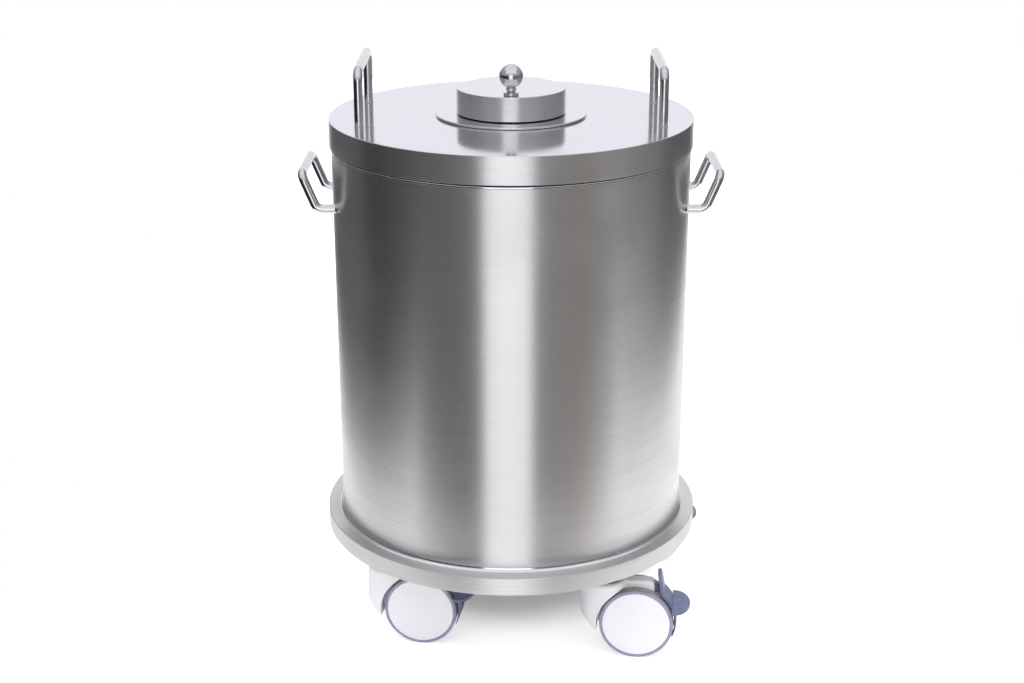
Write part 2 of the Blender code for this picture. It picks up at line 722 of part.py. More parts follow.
def tyre():
    """A tyre band with rounded shoulders. A facet of its tread lies flat on the floor."""
    half = WHEEL_WIDTH / 2 - WHEEL_DISC_BULGE
    inner = WHEEL_RADIUS - TYRE_DEPTH + FIT
    tread = WHEEL_RADIUS / math.cos(math.pi / WHEEL_SIDES)
    shoulder = tread - TYRE_ROUND
    section = [
        (inner, half),
        (shoulder, half),
        (tread, half - TYRE_ROUND),
        (tread, TYRE_ROUND - half),
        (shoulder, -half),
        (inner, -half),
    ]
    return turned("tyre", section, WHEEL_SIDES, FLAT_DOWN)


def stem_place(corner):
    """Where a caster's stem meets the base, on the turned rectangle."""
    reach = BASE_RADIUS - CASTER_INSET
    x = reach * math.cos(CASTER_SPREAD) * (1 if corner.endswith("right") else -1)
    y = reach * math.sin(CASTER_SPREAD) * (1 if corner.startswith("rear") else -1)
    return Matrix.Rotation(CASTER_TURN, 3, "Z") @ Vector((x, y, 0))


def build_drum(sheet, plate, bar, lead, rubber):
    drum = empty("drum", (0, 0, 0))
    floor_top = BASE_TOP + FIT + LEAD_FLOOR
    seal_outer = DRUM_RADIUS - LID_SEAL_INSET
    seal_low = DRUM_TOP + FIT
    shell = ring("outer_shell", DRUM_RADIUS - SHELL_WALL, DRUM_RADIUS, BASE_TOP + FIT, WALL_TOP)
    sleeve = ring("lead_sleeve", LEAD_INNER, LEAD_OUTER, floor_top + FIT, WALL_TOP)
    floor_section = [
        (0, floor_top),
        (LEAD_OUTER, floor_top),
        (LEAD_OUTER, BASE_TOP + FIT),
        (0, BASE_TOP + FIT),
    ]
    lead_floor = turned("lead_floor", floor_section, RING_SIDES)
    seal = ring("lid_seal", seal_outer - LID_SEAL_WIDTH, seal_outer, seal_low, seal_low + LID_SEAL_THICK)
    piece("base_plate", base_plate(), plate, drum)
    piece("outer_shell", shell, sheet, drum)
    piece("lead_sleeve", sleeve, lead, drum)
    piece("lead_floor", lead_floor, lead, drum)
    piece("inner_liner", inner_liner(floor_top + FIT), sheet, drum)
    piece("rim_ring", rim_ring(), sheet, drum)
    piece("lid_seal", seal, rubber, drum)
    piece("side_handle_left", side_handle(-1), bar, drum)
    piece("side_handle_right", side_handle(1), bar, drum)
    return drum


def build_lid(sheet, bar, lead):
    lid = empty("lid", (0, 0, 0))
    lead_low = LID_LOW + LID_WALL + FIT
    disc = ring("lid_lead", PORT_HOLE, LID_INNER, lead_low, lead_low + LID_LEAD)
    sleeve = ring("port_sleeve", PORT_RADIUS, PORT_HOLE - FIT, LID_LOW, COLLAR_TOP)
    width = HINGE_STRAP_WIDTH + 2 * (HINGE_SIDE_PLAY + HINGE_CHEEK + HINGE_PIN_END)
    lying = Matrix.Translation(HINGE_AXIS) @ Z_TO_X
    piece("lid_shell", lid_shell(), sheet, lid)
    piece("lid_lead", disc, lead, lid)
    piece("lid_underplate", lid_underplate(), sheet, lid)
    piece("port_collar", port_collar(), sheet, lid)
    piece("port_sleeve", sleeve, sheet, lid)
    piece("lid_handle_left", lid_handle(-1), bar, lid)
    piece("lid_handle_right", lid_handle(1), bar, lid)
    piece("hinge_bracket", hinge_bracket(), bar, lid)
    piece("hinge_pin", pin("hinge_pin", HINGE_PIN_RADIUS, width, lying), bar, lid)
    return lid


def build_port_cap(sheet, bar, lead, rubber, lid):
    """The cap's pieces hang on a frame on the hinge axis, so that they tip back together."""
    cap = empty("port_cap", HINGE_AXIS, parent=lid)
    to_drum_axis = -HINGE_AXIS
    lead_low = CAP_LOW + CAP_WALL + FIT
    lead_section = [
        (0, lead_low + CAP_LEAD),
        (CAP_INNER, lead_low + CAP_LEAD),
        (CAP_INNER, lead_low),
        (0, lead_low),
    ]
    seal_outer = CAP_RADIUS - CAP_SEAL_INSET
    seal_low = COLLAR_TOP + FIT
    seal = ring("cap_seal", seal_outer - CAP_SEAL_WIDTH, seal_outer, seal_low, seal_low + CAP_SEAL_THICK)
    stud_length = STUD_IN_KNOB + FIT + STUD_IN_CAP
    stud_middle = Vector((0, 0, STUD_IN_KNOB - stud_length / 2))
    stud = pin("knob_stud", STUD_RADIUS, stud_length, Matrix.Translation(stud_middle))
    piece("cap_shell", cap_shell(), sheet, cap, to_drum_axis)
    piece("cap_lead", turned("cap_lead", lead_section, RING_SIDES), lead, cap, to_drum_axis)
    piece("cap_plug", cap_plug(), sheet, cap, to_drum_axis)
    piece("cap_seal", seal, rubber, cap, to_drum_axis)
    piece("ball_knob", ball_knob(), bar, cap, KNOB_PLACE - HINGE_AXIS)
    piece("knob_stud", stud, bar, cap, KNOB_PLACE - HINGE_AXIS)
    piece("hinge_strap", hinge_strap(), bar, cap)


def build_casters(bar, white, blue, tread, dark, drum):
    """Four casters that share their meshes. Each hangs on a frame on its stem's axis."""
    mount = swivel_mount()
    housing = caster_housing()
    axle_length = 2 * (WHEEL_MIDDLE + WHEEL_WIDTH / 2 - AXLE_COVER - FIT)
    axle = pin("axle", AXLE_RADIUS, axle_length, Z_TO_Y)
    pedal = lock_pedal()
    far_wheel = wheel()
    near_wheel = far_wheel.copy()
    near_wheel.transform(Matrix.Rotation(math.pi, 4, "Z"))
    band = tyre()
    for corner, yaw in CASTER_YAW.items():
        caster = empty(f"{corner}_caster", stem_place(corner), yaw, drum)
        piece(f"{corner}_mount", mount, dark, caster)
        piece(f"{corner}_housing", housing, white, caster)
        piece(f"{corner}_axle", axle, bar, caster, AXLE)
        piece(f"{corner}_pedal", pedal, blue, caster, PIVOT)
        for side, mesh, y in (("near", near_wheel, -WHEEL_MIDDLE), ("far", far_wheel, WHEEL_MIDDLE)):
            place = AXLE + Vector((0, y, 0))
            piece(f"{corner}_{side}_wheel", mesh, white, caster, place)
            piece(f"{corner}_{side}_tyre", band, tread, caster, place)


def build():
    clear_scene()
    sheet = finish("brushed_stainless", (0.60, 0.60, 0.61), 0.28, 1.0)
    plate = finish("satin_stainless", (0.57, 0.57, 0.57), 0.4, 1.0)
    bar = finish("polished_stainless", (0.66, 0.66, 0.68), 0.12, 1.0)
    lead = finish("cast_lead", (0.22, 0.23, 0.25), 0.6, 1.0)
    rubber = finish("black_rubber", (0.02, 0.02, 0.02), 0.7, 0.0)
    white = finish("white_plastic", (0.85, 0.85, 0.86), 0.35, 0.0)
    blue = finish("blue_grey_plastic", (0.13, 0.16, 0.28), 0.45, 0.0)
    tread = finish("grey_tread_rubber", (0.16, 0.16, 0.17), 0.6, 0.0)
    dark = finish("blackened_steel", (0.03, 0.03, 0.035), 0.5, 1.0)
    drum = build_drum(sheet, plate, bar, lead, rubber)
    lid = build_lid(sheet, bar, lead)
    build_port_cap(sheet, bar, lead, rubber, lid)
    build_casters(bar, white, blue, tread, dark, drum)


build()
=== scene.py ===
# %% [markdown]
# # A shielded waste container
#
# Hospitals and labs keep short-lived radioactive waste in a drum like this one until it is safe to
# throw away. The drum is two stainless steel cylinders with lead between them. Its heavy lid lifts
# off by two handles, and a small cap in the lid opens for dropping in a bag. The CAD model gives
# every piece its place, size and movement. This script gives the pieces their smooth shapes and
# finishes, one kind at a time.

# %% Load the CAD model
import json
import math

import bmesh
import bpy
from mathutils import Matrix, Vector


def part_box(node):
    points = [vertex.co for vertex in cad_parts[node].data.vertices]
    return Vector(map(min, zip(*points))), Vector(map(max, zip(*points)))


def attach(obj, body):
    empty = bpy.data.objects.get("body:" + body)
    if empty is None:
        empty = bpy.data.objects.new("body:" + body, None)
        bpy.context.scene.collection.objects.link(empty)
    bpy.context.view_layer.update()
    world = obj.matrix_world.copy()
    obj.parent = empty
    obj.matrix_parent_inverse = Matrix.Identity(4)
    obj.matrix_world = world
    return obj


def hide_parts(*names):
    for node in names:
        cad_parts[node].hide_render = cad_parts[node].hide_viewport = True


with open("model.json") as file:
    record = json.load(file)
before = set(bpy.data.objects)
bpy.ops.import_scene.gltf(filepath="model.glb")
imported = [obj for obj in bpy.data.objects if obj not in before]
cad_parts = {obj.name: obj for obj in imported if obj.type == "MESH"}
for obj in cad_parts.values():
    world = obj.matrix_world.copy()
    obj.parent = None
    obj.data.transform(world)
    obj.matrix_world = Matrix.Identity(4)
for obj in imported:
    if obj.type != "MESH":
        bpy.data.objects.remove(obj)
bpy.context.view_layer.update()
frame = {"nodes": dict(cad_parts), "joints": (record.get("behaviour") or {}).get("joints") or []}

# %% [markdown]
# ## The camera
#
# The photograph was taken from a little over two metres away, from above the height of the lid, with
# a lens that sees about 34 degrees. The drum stands almost in the middle of the picture.

# %% Set up the camera
IMAGE_WIDTH = 1024
FOCAL_PIXELS = 1685.2
SENSOR_MM = 36.0
CAMERA_PLACE = (0.0, -2.2064, 1.1762)
CAMERA_DOWN = math.radians(19.606)
AXIS_PIXEL = 511.13

camera_data = bpy.data.cameras.new("photo_camera")
camera_data.sensor_width = SENSOR_MM
camera_data.lens = FOCAL_PIXELS / IMAGE_WIDTH * SENSOR_MM
camera_data.shift_x = (IMAGE_WIDTH / 2 - AXIS_PIXEL) / IMAGE_WIDTH
camera = bpy.data.objects.new("photo_camera", camera_data)
camera.location = CAMERA_PLACE
camera.rotation_euler = (math.pi / 2 - CAMERA_DOWN, 0, 0)
bpy.context.scene.collection.objects.link(camera)
bpy.context.scene.camera = camera
bpy.context.scene.view_settings.view_transform = "Standard"
print("lens", round(camera_data.lens, 2), "mm")

# %% [markdown]
# ## Helpers for materials
#
# Colours are written as the hex codes that a screen shows, and a shader wants linear light, so one
# function turns the first into the second. Another adds a node, sets its values and links its inputs.

# %% Colour and node helpers
MIX_SOCKETS = (0, 6, 7)  # factor and the two colours of a Mix node
MIX_RESULT = 2


def to_linear(code):
    """Linear RGBA of an sRGB hex code such as C8C8C8."""
    channels = [int(code[i : i + 2], 16) / 255 for i in (0, 2, 4)]
    return (*[c / 12.92 if c <= 0.04045 else ((c + 0.055) / 1.055) ** 2.4 for c in channels], 1.0)


def add(tree, kind, inputs=None, **settings):
    """A new shader node with its settings, values and links."""
    made = tree.nodes.new("ShaderNode" + kind)
    for name, value in settings.items():
        setattr(made, name, value)
    for name, value in (inputs or {}).items():
        if isinstance(value, bpy.types.NodeSocket):
            tree.links.new(value, made.inputs[name])
        else:
            made.inputs[name].default_value = value
    return made


def ramp(tree, value, start, end, low, high):
    """A value that runs smoothly from low to high as another runs from start to end."""
    limits = {"Value": value, "From Min": start, "From Max": end, "To Min": low, "To Max": high}
    return add(tree, "MapRange", limits, interpolation_type="SMOOTHSTEP").outputs["Result"]


def math_node(tree, operation, a, b):
    """The sum, product, larger value or the like of two values."""
    return add(tree, "Math", {0: a, 1: b}, operation=operation).outputs[0]


def mixed(tree, factor, first, second):
    """A colour between two others."""
    made = add(tree, "Mix", data_type="RGBA")
    for socket, value in zip(MIX_SOCKETS, (factor, first, second)):
        if isinstance(value, bpy.types.NodeSocket):
            tree.links.new(value, made.inputs[socket])
        else:
            made.inputs[socket].default_value = value
    return made.outputs[MIX_RESULT]


print("grey C8C8C8 is", round(to_linear("C8C8C8")[0], 3), "in linear light")

# %% [markdown]
# ## The studio
#
# The drum stands on a white sweep in a dim room. A mirror shows what is in front of it, so polished
# steel looks like its room: the white backdrop gives the drum its bright edges, the dim room the dark
# bands, a wooden door a brownish one, and a tall soft light behind the camera the bright stripe down
# the middle. A wide panel high in front lights the white casters.
#
# The room is painted by direction: X runs from left to right, Y away from the camera and Z up. Each
# pair of numbers below says where a soft edge starts and ends on one of these axes.

# %% Room, backdrop and ceiling
ROOM_LEFT = 0.02
ROOM_RIGHT = 0.19
NEAR_WALLS = (-0.9, 0.35)  # along X
ROOM_BACK = 0.11  # the side walls beyond the drum
FAR_WALLS = (0.10, 0.45)  # along Y
UPPER_WALLS = 0.42  # the walls are paler above the horizon, which the lid mirrors from the sides
UPPER_EDGE = (0.06, 0.20)  # along Z
BACKDROP = 1.0
BACKDROP_LEAN = 0.2  # the backdrop is wider higher up
BACKDROP_EDGE = (0.82, 0.92)  # along Y
CEILING = 1.6
CEILING_EDGE = (0.55, 0.85)  # along Z

world = bpy.data.worlds.new("studio")
world.use_nodes = True
bpy.context.scene.world = world
sky = world.node_tree
way = add(sky, "SeparateXYZ", {"Vector": add(sky, "TexCoord").outputs["Generated"]}).outputs
near_walls = ramp(sky, way["X"], *NEAR_WALLS, ROOM_LEFT, ROOM_RIGHT)
nearness = ramp(sky, way["Y"], *FAR_WALLS, 1.0, 0.0)
far_walls = ramp(sky, way["Y"], *FAR_WALLS, 0.0, ROOM_BACK)
lower = math_node(sky, "ADD", math_node(sky, "MULTIPLY", near_walls, nearness), far_walls)
room = math_node(sky, "MAXIMUM", lower, ramp(sky, way["Z"], *UPPER_EDGE, 0.0, UPPER_WALLS))
lean = math_node(sky, "ADD", way["Y"], math_node(sky, "MULTIPLY", way["Z"], BACKDROP_LEAN))
behind = ramp(sky, lean, *BACKDROP_EDGE, 0.0, BACKDROP)
above = ramp(sky, way["Z"], *CEILING_EDGE, 0.0, CEILING)
print("room", ROOM_LEFT, "to", ROOM_RIGHT, "backdrop", BACKDROP, "ceiling", CEILING)

# %% Tall light and front panel
TALL_LIGHT = 1.45
TALL_LIGHT_TOP = 1.1  # added above the horizon, where it lights the wheels
TALL_LEFT = (-0.35, -0.27)  # across, which is X over the distance forward
TALL_RIGHT = (0.20, 0.28)
TALL_LOW = (-0.70, -0.50)  # along Z
TALL_BRIGHTER = (0.0, 0.15)
TALL_HIGH = (0.40, 0.50)
FRONT_PANEL = 1.75
PANEL_LOW = (0.40, 0.52)  # along Z
PANEL_BACK = (-0.45, -0.20)  # along Y
JUST_FORWARD = 0.001

forward = math_node(sky, "MAXIMUM", math_node(sky, "MULTIPLY", way["Y"], -1.0), JUST_FORWARD)
across = math_node(sky, "DIVIDE", way["X"], forward)
left_edge = ramp(sky, across, *TALL_LEFT, 0.0, 1.0)
right_edge = ramp(sky, across, *TALL_RIGHT, 1.0, 0.0)
raised = ramp(sky, way["Z"], *TALL_LOW, 0.0, TALL_LIGHT)
brighter = math_node(sky, "ADD", raised, ramp(sky, way["Z"], *TALL_BRIGHTER, 0.0, TALL_LIGHT_TOP))
upright = math_node(sky, "MULTIPLY", brighter, ramp(sky, way["Z"], *TALL_HIGH, 1.0, 0.0))
tall = math_node(sky, "MULTIPLY", upright, math_node(sky, "MULTIPLY", left_edge, right_edge))
high = ramp(sky, way["Z"], *PANEL_LOW, 0.0, FRONT_PANEL)
panel = math_node(sky, "MULTIPLY", high, ramp(sky, way["Y"], *PANEL_BACK, 1.0, 0.0))
print("tall light", TALL_LIGHT, "to", TALL_LIGHT + TALL_LIGHT_TOP, "panel", FRONT_PANEL)

# %% [markdown]
# ### What each ray sees
#
# Rays are told apart by where they come from. Those from the camera see plain white. Those that metal
# mirrors see the lights above the horizon no brighter than the backdrop, so that the lid stays a pale
# grey from above. All others carry the light as it is.

# %% White for the camera, a limit for mirrors, a tint for the room
MIRROR_EDGE = (0.12, 0.22)  # along Z
NO_LIMIT = 9.0
DOOR_NEAR = (0.7, 0.9)  # across
DOOR_FAR = (1.2, 1.5)
DOOR_TOP = (0.0, 0.15)  # along Z
WHITE = to_linear("FFFFFF")
LAVENDER_WHITE = to_linear("FCFBFF")
WARM_WOOD = to_linear("FFECCB")

background = sky.nodes["Background"]
studio = math_node(sky, "MAXIMUM", math_node(sky, "MAXIMUM", room, behind), above)
studio = math_node(sky, "MAXIMUM", studio, math_node(sky, "MAXIMUM", tall, panel))
rays = add(sky, "LightPath").outputs
seen = rays["Is Camera Ray"]
mirrored = math_node(sky, "MAXIMUM", rays["Is Glossy Ray"], rays["Is Transmission Ray"])
mirror_limit = ramp(sky, way["Z"], *MIRROR_EDGE, TALL_LIGHT + TALL_LIGHT_TOP, BACKDROP)
limit = math_node(sky, "MAXIMUM", mirror_limit, ramp(sky, mirrored, 0.0, 1.0, NO_LIMIT, 0.0))
studio = math_node(sky, "MINIMUM", studio, limit)
sky.links.new(math_node(sky, "MAXIMUM", studio, seen), background.inputs["Strength"])
past_near_side = ramp(sky, across, *DOOR_NEAR, 0.0, 1.0)
before_far_side = ramp(sky, across, *DOOR_FAR, 1.0, 0.0)
below_top = ramp(sky, way["Z"], *DOOR_TOP, 1.0, 0.0)
door = math_node(sky, "MULTIPLY", math_node(sky, "MULTIPLY", past_near_side, before_far_side), below_top)
tint = mixed(sky, door, LAVENDER_WHITE, WARM_WOOD)
sky.links.new(mixed(sky, seen, tint, WHITE), background.inputs["Color"])
print("mirrored lights high up are limited to", BACKDROP)

# %% [markdown]
# ### The sweep
#
# A sheet of white paper lies under the drum and runs far back. A lamp overhead gives the drum its
# shadow. Close to the drum the paper is seen as it is lit. Farther out the camera sees it nearer to
# white, as in a picture that is cut out for print.

# %% Sweep and overhead lamp
SWEEP_FRONT = -0.46
SWEEP_BACK = 4.0
SWEEP_LEFT = -0.73
SWEEP_RIGHT = 1.05
SWEEP_LIFT = 0.50
LIFT_START = 0.13  # distance from the middle at which the lift starts
LIFT_END = 0.235
SWEEP_MIDDLE = (0.0, 0.10, 0.0)
PAPER_ROUGHNESS = 0.9
LAMP_PLACE = Vector((0.1, 0.3, 2.6))
LAMP_SIZE = 1.6
LAMP_WATTS = 30.0

lamp = bpy.data.lights.new("soft_light_overhead", "AREA")
lamp.size = LAMP_SIZE
lamp.energy = LAMP_WATTS
lamp_holder = bpy.data.objects.new("soft_light_overhead", lamp)
lamp_holder.location = LAMP_PLACE
lamp_holder.visible_glossy = False  # metal mirrors the ceiling, not the lamp
bpy.context.scene.collection.objects.link(lamp_holder)

sweep_shape = bmesh.new()
sweep_corners = [
    (SWEEP_LEFT, SWEEP_FRONT, 0),
    (SWEEP_RIGHT, SWEEP_FRONT, 0),
    (SWEEP_RIGHT, SWEEP_BACK, 0),
    (SWEEP_LEFT, SWEEP_BACK, 0),
]
sweep_shape.faces.new([sweep_shape.verts.new(corner) for corner in sweep_corners])
sweep_mesh = bpy.data.meshes.new("white_sweep")
sweep_shape.to_mesh(sweep_mesh)
sweep_shape.free()
sweep = bpy.data.objects.new("white_sweep", sweep_mesh)
bpy.context.scene.collection.objects.link(sweep)
paper = bpy.data.materials.new("white_paper_sweep")
paper.use_nodes = True
paper_shader = paper.node_tree.nodes["Principled BSDF"]
paper_shader.inputs["Base Color"].default_value = to_linear("FCFCFC")
paper_shader.inputs["Roughness"].default_value = PAPER_ROUGHNESS
paper_shader.inputs["Emission Color"].default_value = WHITE
paper_seen = add(paper.node_tree, "LightPath").outputs["Is Camera Ray"]
paper_place = add(paper.node_tree, "TexCoord").outputs["Object"]
paper_ends = {0: paper_place, 1: SWEEP_MIDDLE}
paper_reach = add(paper.node_tree, "VectorMath", paper_ends, operation="DISTANCE").outputs["Value"]
lift = ramp(paper.node_tree, paper_reach, LIFT_START, LIFT_END, 0.0, SWEEP_LIFT)
lifted = math_node(paper.node_tree, "MULTIPLY", paper_seen, lift)
paper.node_tree.links.new(lifted, paper_shader.inputs["Emission Strength"])
sweep_mesh.materials.append(paper)
print("sweep", SWEEP_RIGHT - SWEEP_LEFT, "m wide")

# %% [markdown]
# ## Brushed stainless steel
#
# The sheet is ground with an abrasive belt while the drum turns, which leaves fine scratches that run
# round it. Light that meets the scratches spreads across them, so reflections smear into upright
# bands. The scratches are noise stretched along the grain, and hands and cloths leave cloudy patches
# that are a little duller. A flat top is ground in straight lines from side to side.

# %% Brushed steel materials
GRAIN_WIDTH = 0.0009  # metres across one scratch
GRAIN_LENGTH = 0.120
GRAIN_CHANGE = 0.025  # roughness lost or gained in a scratch
GRAIN_BUMP = 0.022
GRAIN_DEPTH = 0.0002
CLOUD_SIZE = 0.14
CLOUD_SPAN = (0.45, 0.70)
CLOUD_DULLING = 0.05
NOISE_SPAN = (0.30, 0.70)  # most of a noise lies between these values
QUARTER_TURN = 0.25
ACROSS_GRAIN_Z = (1 / GRAIN_LENGTH, 1 / GRAIN_LENGTH, 1 / GRAIN_WIDTH)
ACROSS_GRAIN_Y = (1 / GRAIN_LENGTH, 1 / GRAIN_WIDTH, 1 / GRAIN_LENGTH)


def brushed_steel(name, grain, light, dark, roughness, spread=0.0, swirl=False):
    """Ground stainless steel: grain gives the scratch direction, swirl a grain that runs round Z."""
    material = bpy.data.materials.new(name)
    material.use_nodes = True
    tree = material.node_tree
    shader = tree.nodes["Principled BSDF"]
    shader.inputs["Metallic"].default_value = 1.0
    shader.inputs["Anisotropic"].default_value = spread
    place = add(tree, "TexCoord").outputs["Object"]
    stretched = add(tree, "Mapping", {"Vector": place, "Scale": grain}).outputs["Vector"]
    scratches = add(tree, "TexNoise", {"Vector": stretched, "Scale": 1.0, "Detail": 3.0}).outputs["Fac"]
    clouds = add(tree, "TexNoise", {"Vector": place, "Scale": 1 / CLOUD_SIZE, "Detail": 4.0}).outputs["Fac"]
    tone = ramp(tree, scratches, *NOISE_SPAN, 0.0, 1.0)
    tree.links.new(mixed(tree, tone, to_linear(dark), to_linear(light)), shader.inputs["Base Color"])
    fine = ramp(tree, scratches, *NOISE_SPAN, roughness + GRAIN_CHANGE, roughness - GRAIN_CHANGE)
    dull = ramp(tree, clouds, *CLOUD_SPAN, 0.0, CLOUD_DULLING)
    tree.links.new(math_node(tree, "ADD", fine, dull), shader.inputs["Roughness"])
    bump = add(tree, "Bump", {"Height": scratches, "Strength": GRAIN_BUMP, "Distance": GRAIN_DEPTH})
    tree.links.new(bump.outputs["Normal"], shader.inputs["Normal"])
    if swirl:
        shader.inputs["Anisotropic Rotation"].default_value = QUARTER_TURN
        tangent = add(tree, "Tangent", direction_type="RADIAL", axis="Z")
        tree.links.new(tangent.outputs["Tangent"], shader.inputs["Tangent"])
    return material


# Scratches round the drum: upright bands with a fine streak across them.
steel_round = brushed_steel(
    "stainless_sheet_ground_round",
    ACROSS_GRAIN_Z,
    "DCDBDB",
    "D2D1D0",
    roughness=0.31,
    spread=0.84,
    swirl=True,
)
# Straight scratches on a flat top: a soft, pale mirror of the backdrop. Its colour is painted paler and more
# lavender than the drum's steel, which is partly a painted reflection of the lavender backdrop.
steel_straight_painted_reflection = brushed_steel(
    "stainless_sheet_ground_straight_painted_reflection", ACROSS_GRAIN_Y, "E6E4EA", "DDDBE2", roughness=0.10
)
# A thick plate finished with a coarser belt: even grey with little shine.
steel_satin = brushed_steel(
    "stainless_plate_satin_ground", ACROSS_GRAIN_Z, "DCDCDA", "D0D0CE", roughness=0.40, spread=0.6, swirl=True
)
print("scratches", GRAIN_WIDTH * 1000, "mm wide and", GRAIN_LENGTH * 1000, "mm long")

# %% [markdown]
# ## Other finishes
#
# Round bar is bought bright and polished after bending. The casters are moulded: white housings and
# discs, blue-grey pedals and tyre cores, and a grey tread that leaves no marks. Moulded plastic shows a
# fine spark-eroded texture, rubber a dusting of wear.

# %% Bar, plastic, rubber, lead
POLISH_MARK = 0.006
MOULD_TEXTURE = 0.0007
WEAR_SIZE = 0.012
RELIEF = 0.1  # height of the mottling over its size


def grained(name, light, dark, size, roughness, change, bump, metallic=0.0):
    """A finish with one scale of mottling in colour, roughness and relief."""
    material = bpy.data.materials.new(name)
    material.use_nodes = True
    tree = material.node_tree
    shader = tree.nodes["Principled BSDF"]
    shader.inputs["Metallic"].default_value = metallic
    place = add(tree, "TexCoord").outputs["Object"]
    mottle = add(tree, "TexNoise", {"Vector": place, "Scale": 1 / size, "Detail": 4.0}).outputs["Fac"]
    tone = ramp(tree, mottle, *NOISE_SPAN, 0.0, 1.0)
    tree.links.new(mixed(tree, tone, to_linear(dark), to_linear(light)), shader.inputs["Base Color"])
    rough = ramp(tree, mottle, *NOISE_SPAN, roughness + change, roughness - change)
    tree.links.new(rough, shader.inputs["Roughness"])
    relief = add(tree, "Bump", {"Height": mottle, "Strength": bump, "Distance": size * RELIEF})
    tree.links.new(relief.outputs["Normal"], shader.inputs["Normal"])
    return material


# Polished bar: a clear mirror with faint hand-polishing marks.
bar = grained(
    "stainless_bar_polished",
    "DAD9DC",
    "CDCCD0",
    POLISH_MARK,
    roughness=0.16,
    change=0.04,
    bump=0.03,
    metallic=1.0,
)
# White nylon: a soft sheen over a fine spark-eroded texture.
white = grained(
    "white_nylon_moulded", "F7F7F9", "F1F1F4", MOULD_TEXTURE, roughness=0.38, change=0.04, bump=0.04
)
# Blue-grey nylon of the pedals: satin, a shade paler where feet have rubbed it.
blue = grained(
    "blue_grey_nylon_moulded", "6E7796", "626B8A", WEAR_SIZE, roughness=0.42, change=0.05, bump=0.03
)
# Tyre core: a paler, bluer grey, seen as a ring round each white disc.
core = grained(
    "blue_grey_tyre_core_moulded", "9F9DBC", "9290B0", WEAR_SIZE, roughness=0.5, change=0.05, bump=0.03
)
# Tread: warm grey, dull, dusty from the floor.
tread = grained(
    "grey_tread_cast_polyurethane", "9E9C96", "8C8A84", WEAR_SIZE, roughness=0.62, change=0.08, bump=0.10
)
# Black rubber of the seals: almost no shine.
rubber = grained(
    "black_rubber_extruded", "1E1E20", "141416", WEAR_SIZE, roughness=0.7, change=0.06, bump=0.10
)
# Black oxide on the caster mounts: dark with a dull gleam.
black = grained(
    "steel_black_oxide", "2A2A30", "1C1C22", WEAR_SIZE, roughness=0.45, change=0.06, bump=0.05, metallic=0.6
)
# Cast lead: dark, blotched where it has oxidised.
lead = grained(
    "lead_cast_oxidised", "7A7D82", "565A60", WEAR_SIZE, roughness=0.6, change=0.10, bump=0.20, metallic=0.7
)
print("materials:", len(bpy.data.materials))

# %% [markdown]
# ## Turning a shape
#
# The drum, lid, cap, knob and wheels are all round, so each is a section spun about an axis. Real
# edges are never knife sharp, so a section's corners are rounded before it is spun, and the small
# round catches the light as a bright line.

# %% Helpers for turned shapes
SIDES = 192
CORNER_STEPS = 4
SHARP = math.radians(40)
PROP = 0.0004  # from a corner to the extra line that stops its shading from spreading
PROP_RUN = 0.003  # runs shorter than this need none
SAME_PLACE = 1e-6
LEVEL = 0.95  # upward part of a level face's normal


def rounded(corners, closed=True):
    """Points of an outline of (x, y, radius) corners, each corner rounded by its radius."""
    points = []
    for i, (x, y, radius) in enumerate(corners):
        here = Vector((x, y))
        ends = not closed and i in (0, len(corners) - 1)
        if not radius or ends:
            points.append(here)
            continue
        back = (Vector(corners[i - 1][:2]) - here).normalized()
        ahead = (Vector(corners[(i + 1) % len(corners)][:2]) - here).normalized()
        half = back.angle(ahead) / 2
        middle = here + (back + ahead).normalized() * radius / math.sin(half)
        start = here + back * radius / math.tan(half) - middle
        end = here + ahead * radius / math.tan(half) - middle
        first = math.atan2(start.y, start.x)
        swing = (math.atan2(end.y, end.x) - first + math.pi) % math.tau - math.pi
        for step in range(CORNER_STEPS + 1):
            angle = first + swing * step / CORNER_STEPS
            points.append(middle + radius * Vector((math.cos(angle), math.sin(angle))))
    return points


def propped(points, closed):
    """The points with one more close to each end of a long run, so that smooth shading keeps it flat."""
    starts = [Vector(point) for point in points]
    dense = []
    for start, end in zip(starts, starts[1:] + starts[:1]):
        dense.append(start)
        run = end - start
        if run.length < PROP_RUN or (start is starts[-1] and not closed):
            continue
        if start.x > 0:
            dense.append(start + run.normalized() * PROP)
        if end.x > 0:
            dense.append(end - run.normalized() * PROP)
    return dense


def spun(points, sides=SIDES, place=None):
    """A solid spun about Z from (radius, height) points, as a bmesh."""
    closed = points[0][0] > 0 or points[-1][0] > 0
    shape = bmesh.new()
    verts = [shape.verts.new((x, 0.0, z)) for x, z in propped(points, closed)]
    pairs = list(zip(verts, verts[1:]))
    if closed:
        pairs.append((verts[-1], verts[0]))
    edges = [shape.edges.new(pair) for pair in pairs]
    spin = {"cent": (0, 0, 0), "axis": (0, 0, 1), "angle": math.tau, "steps": sides, "use_merge": True}
    bmesh.ops.spin(shape, geom=verts + edges, **spin)
    bmesh.ops.remove_doubles(shape, verts=shape.verts, dist=SAME_PLACE)
    if place:
        shape.transform(place)
    bmesh.ops.recalc_face_normals(shape, faces=shape.faces)
    return shape


def keep(name, shape, materials, body, nodes, flat_top=None):
    """A finished piece that rides on a body and stands for CAD nodes. flat_top paints level faces."""
    mesh = bpy.data.meshes.new(name)
    # Level faces take the second material, which here is always the straight-ground steel with its painted
    # reflection tint.
    if flat_top is not None:
        for face in shape.faces:
            face.material_index = flat_top if abs(face.normal.z) > LEVEL else 0
    shape.to_mesh(mesh)
    shape.free()
    for material in materials:
        mesh.materials.append(material)
    mesh.shade_smooth()
    mesh.set_sharp_from_angle(angle=SHARP)
    made = bpy.data.objects.new(name, mesh)
    bpy.context.scene.collection.objects.link(made)
    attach(made, body)
    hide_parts(*nodes)


print("each full turn has", SIDES, "sides")

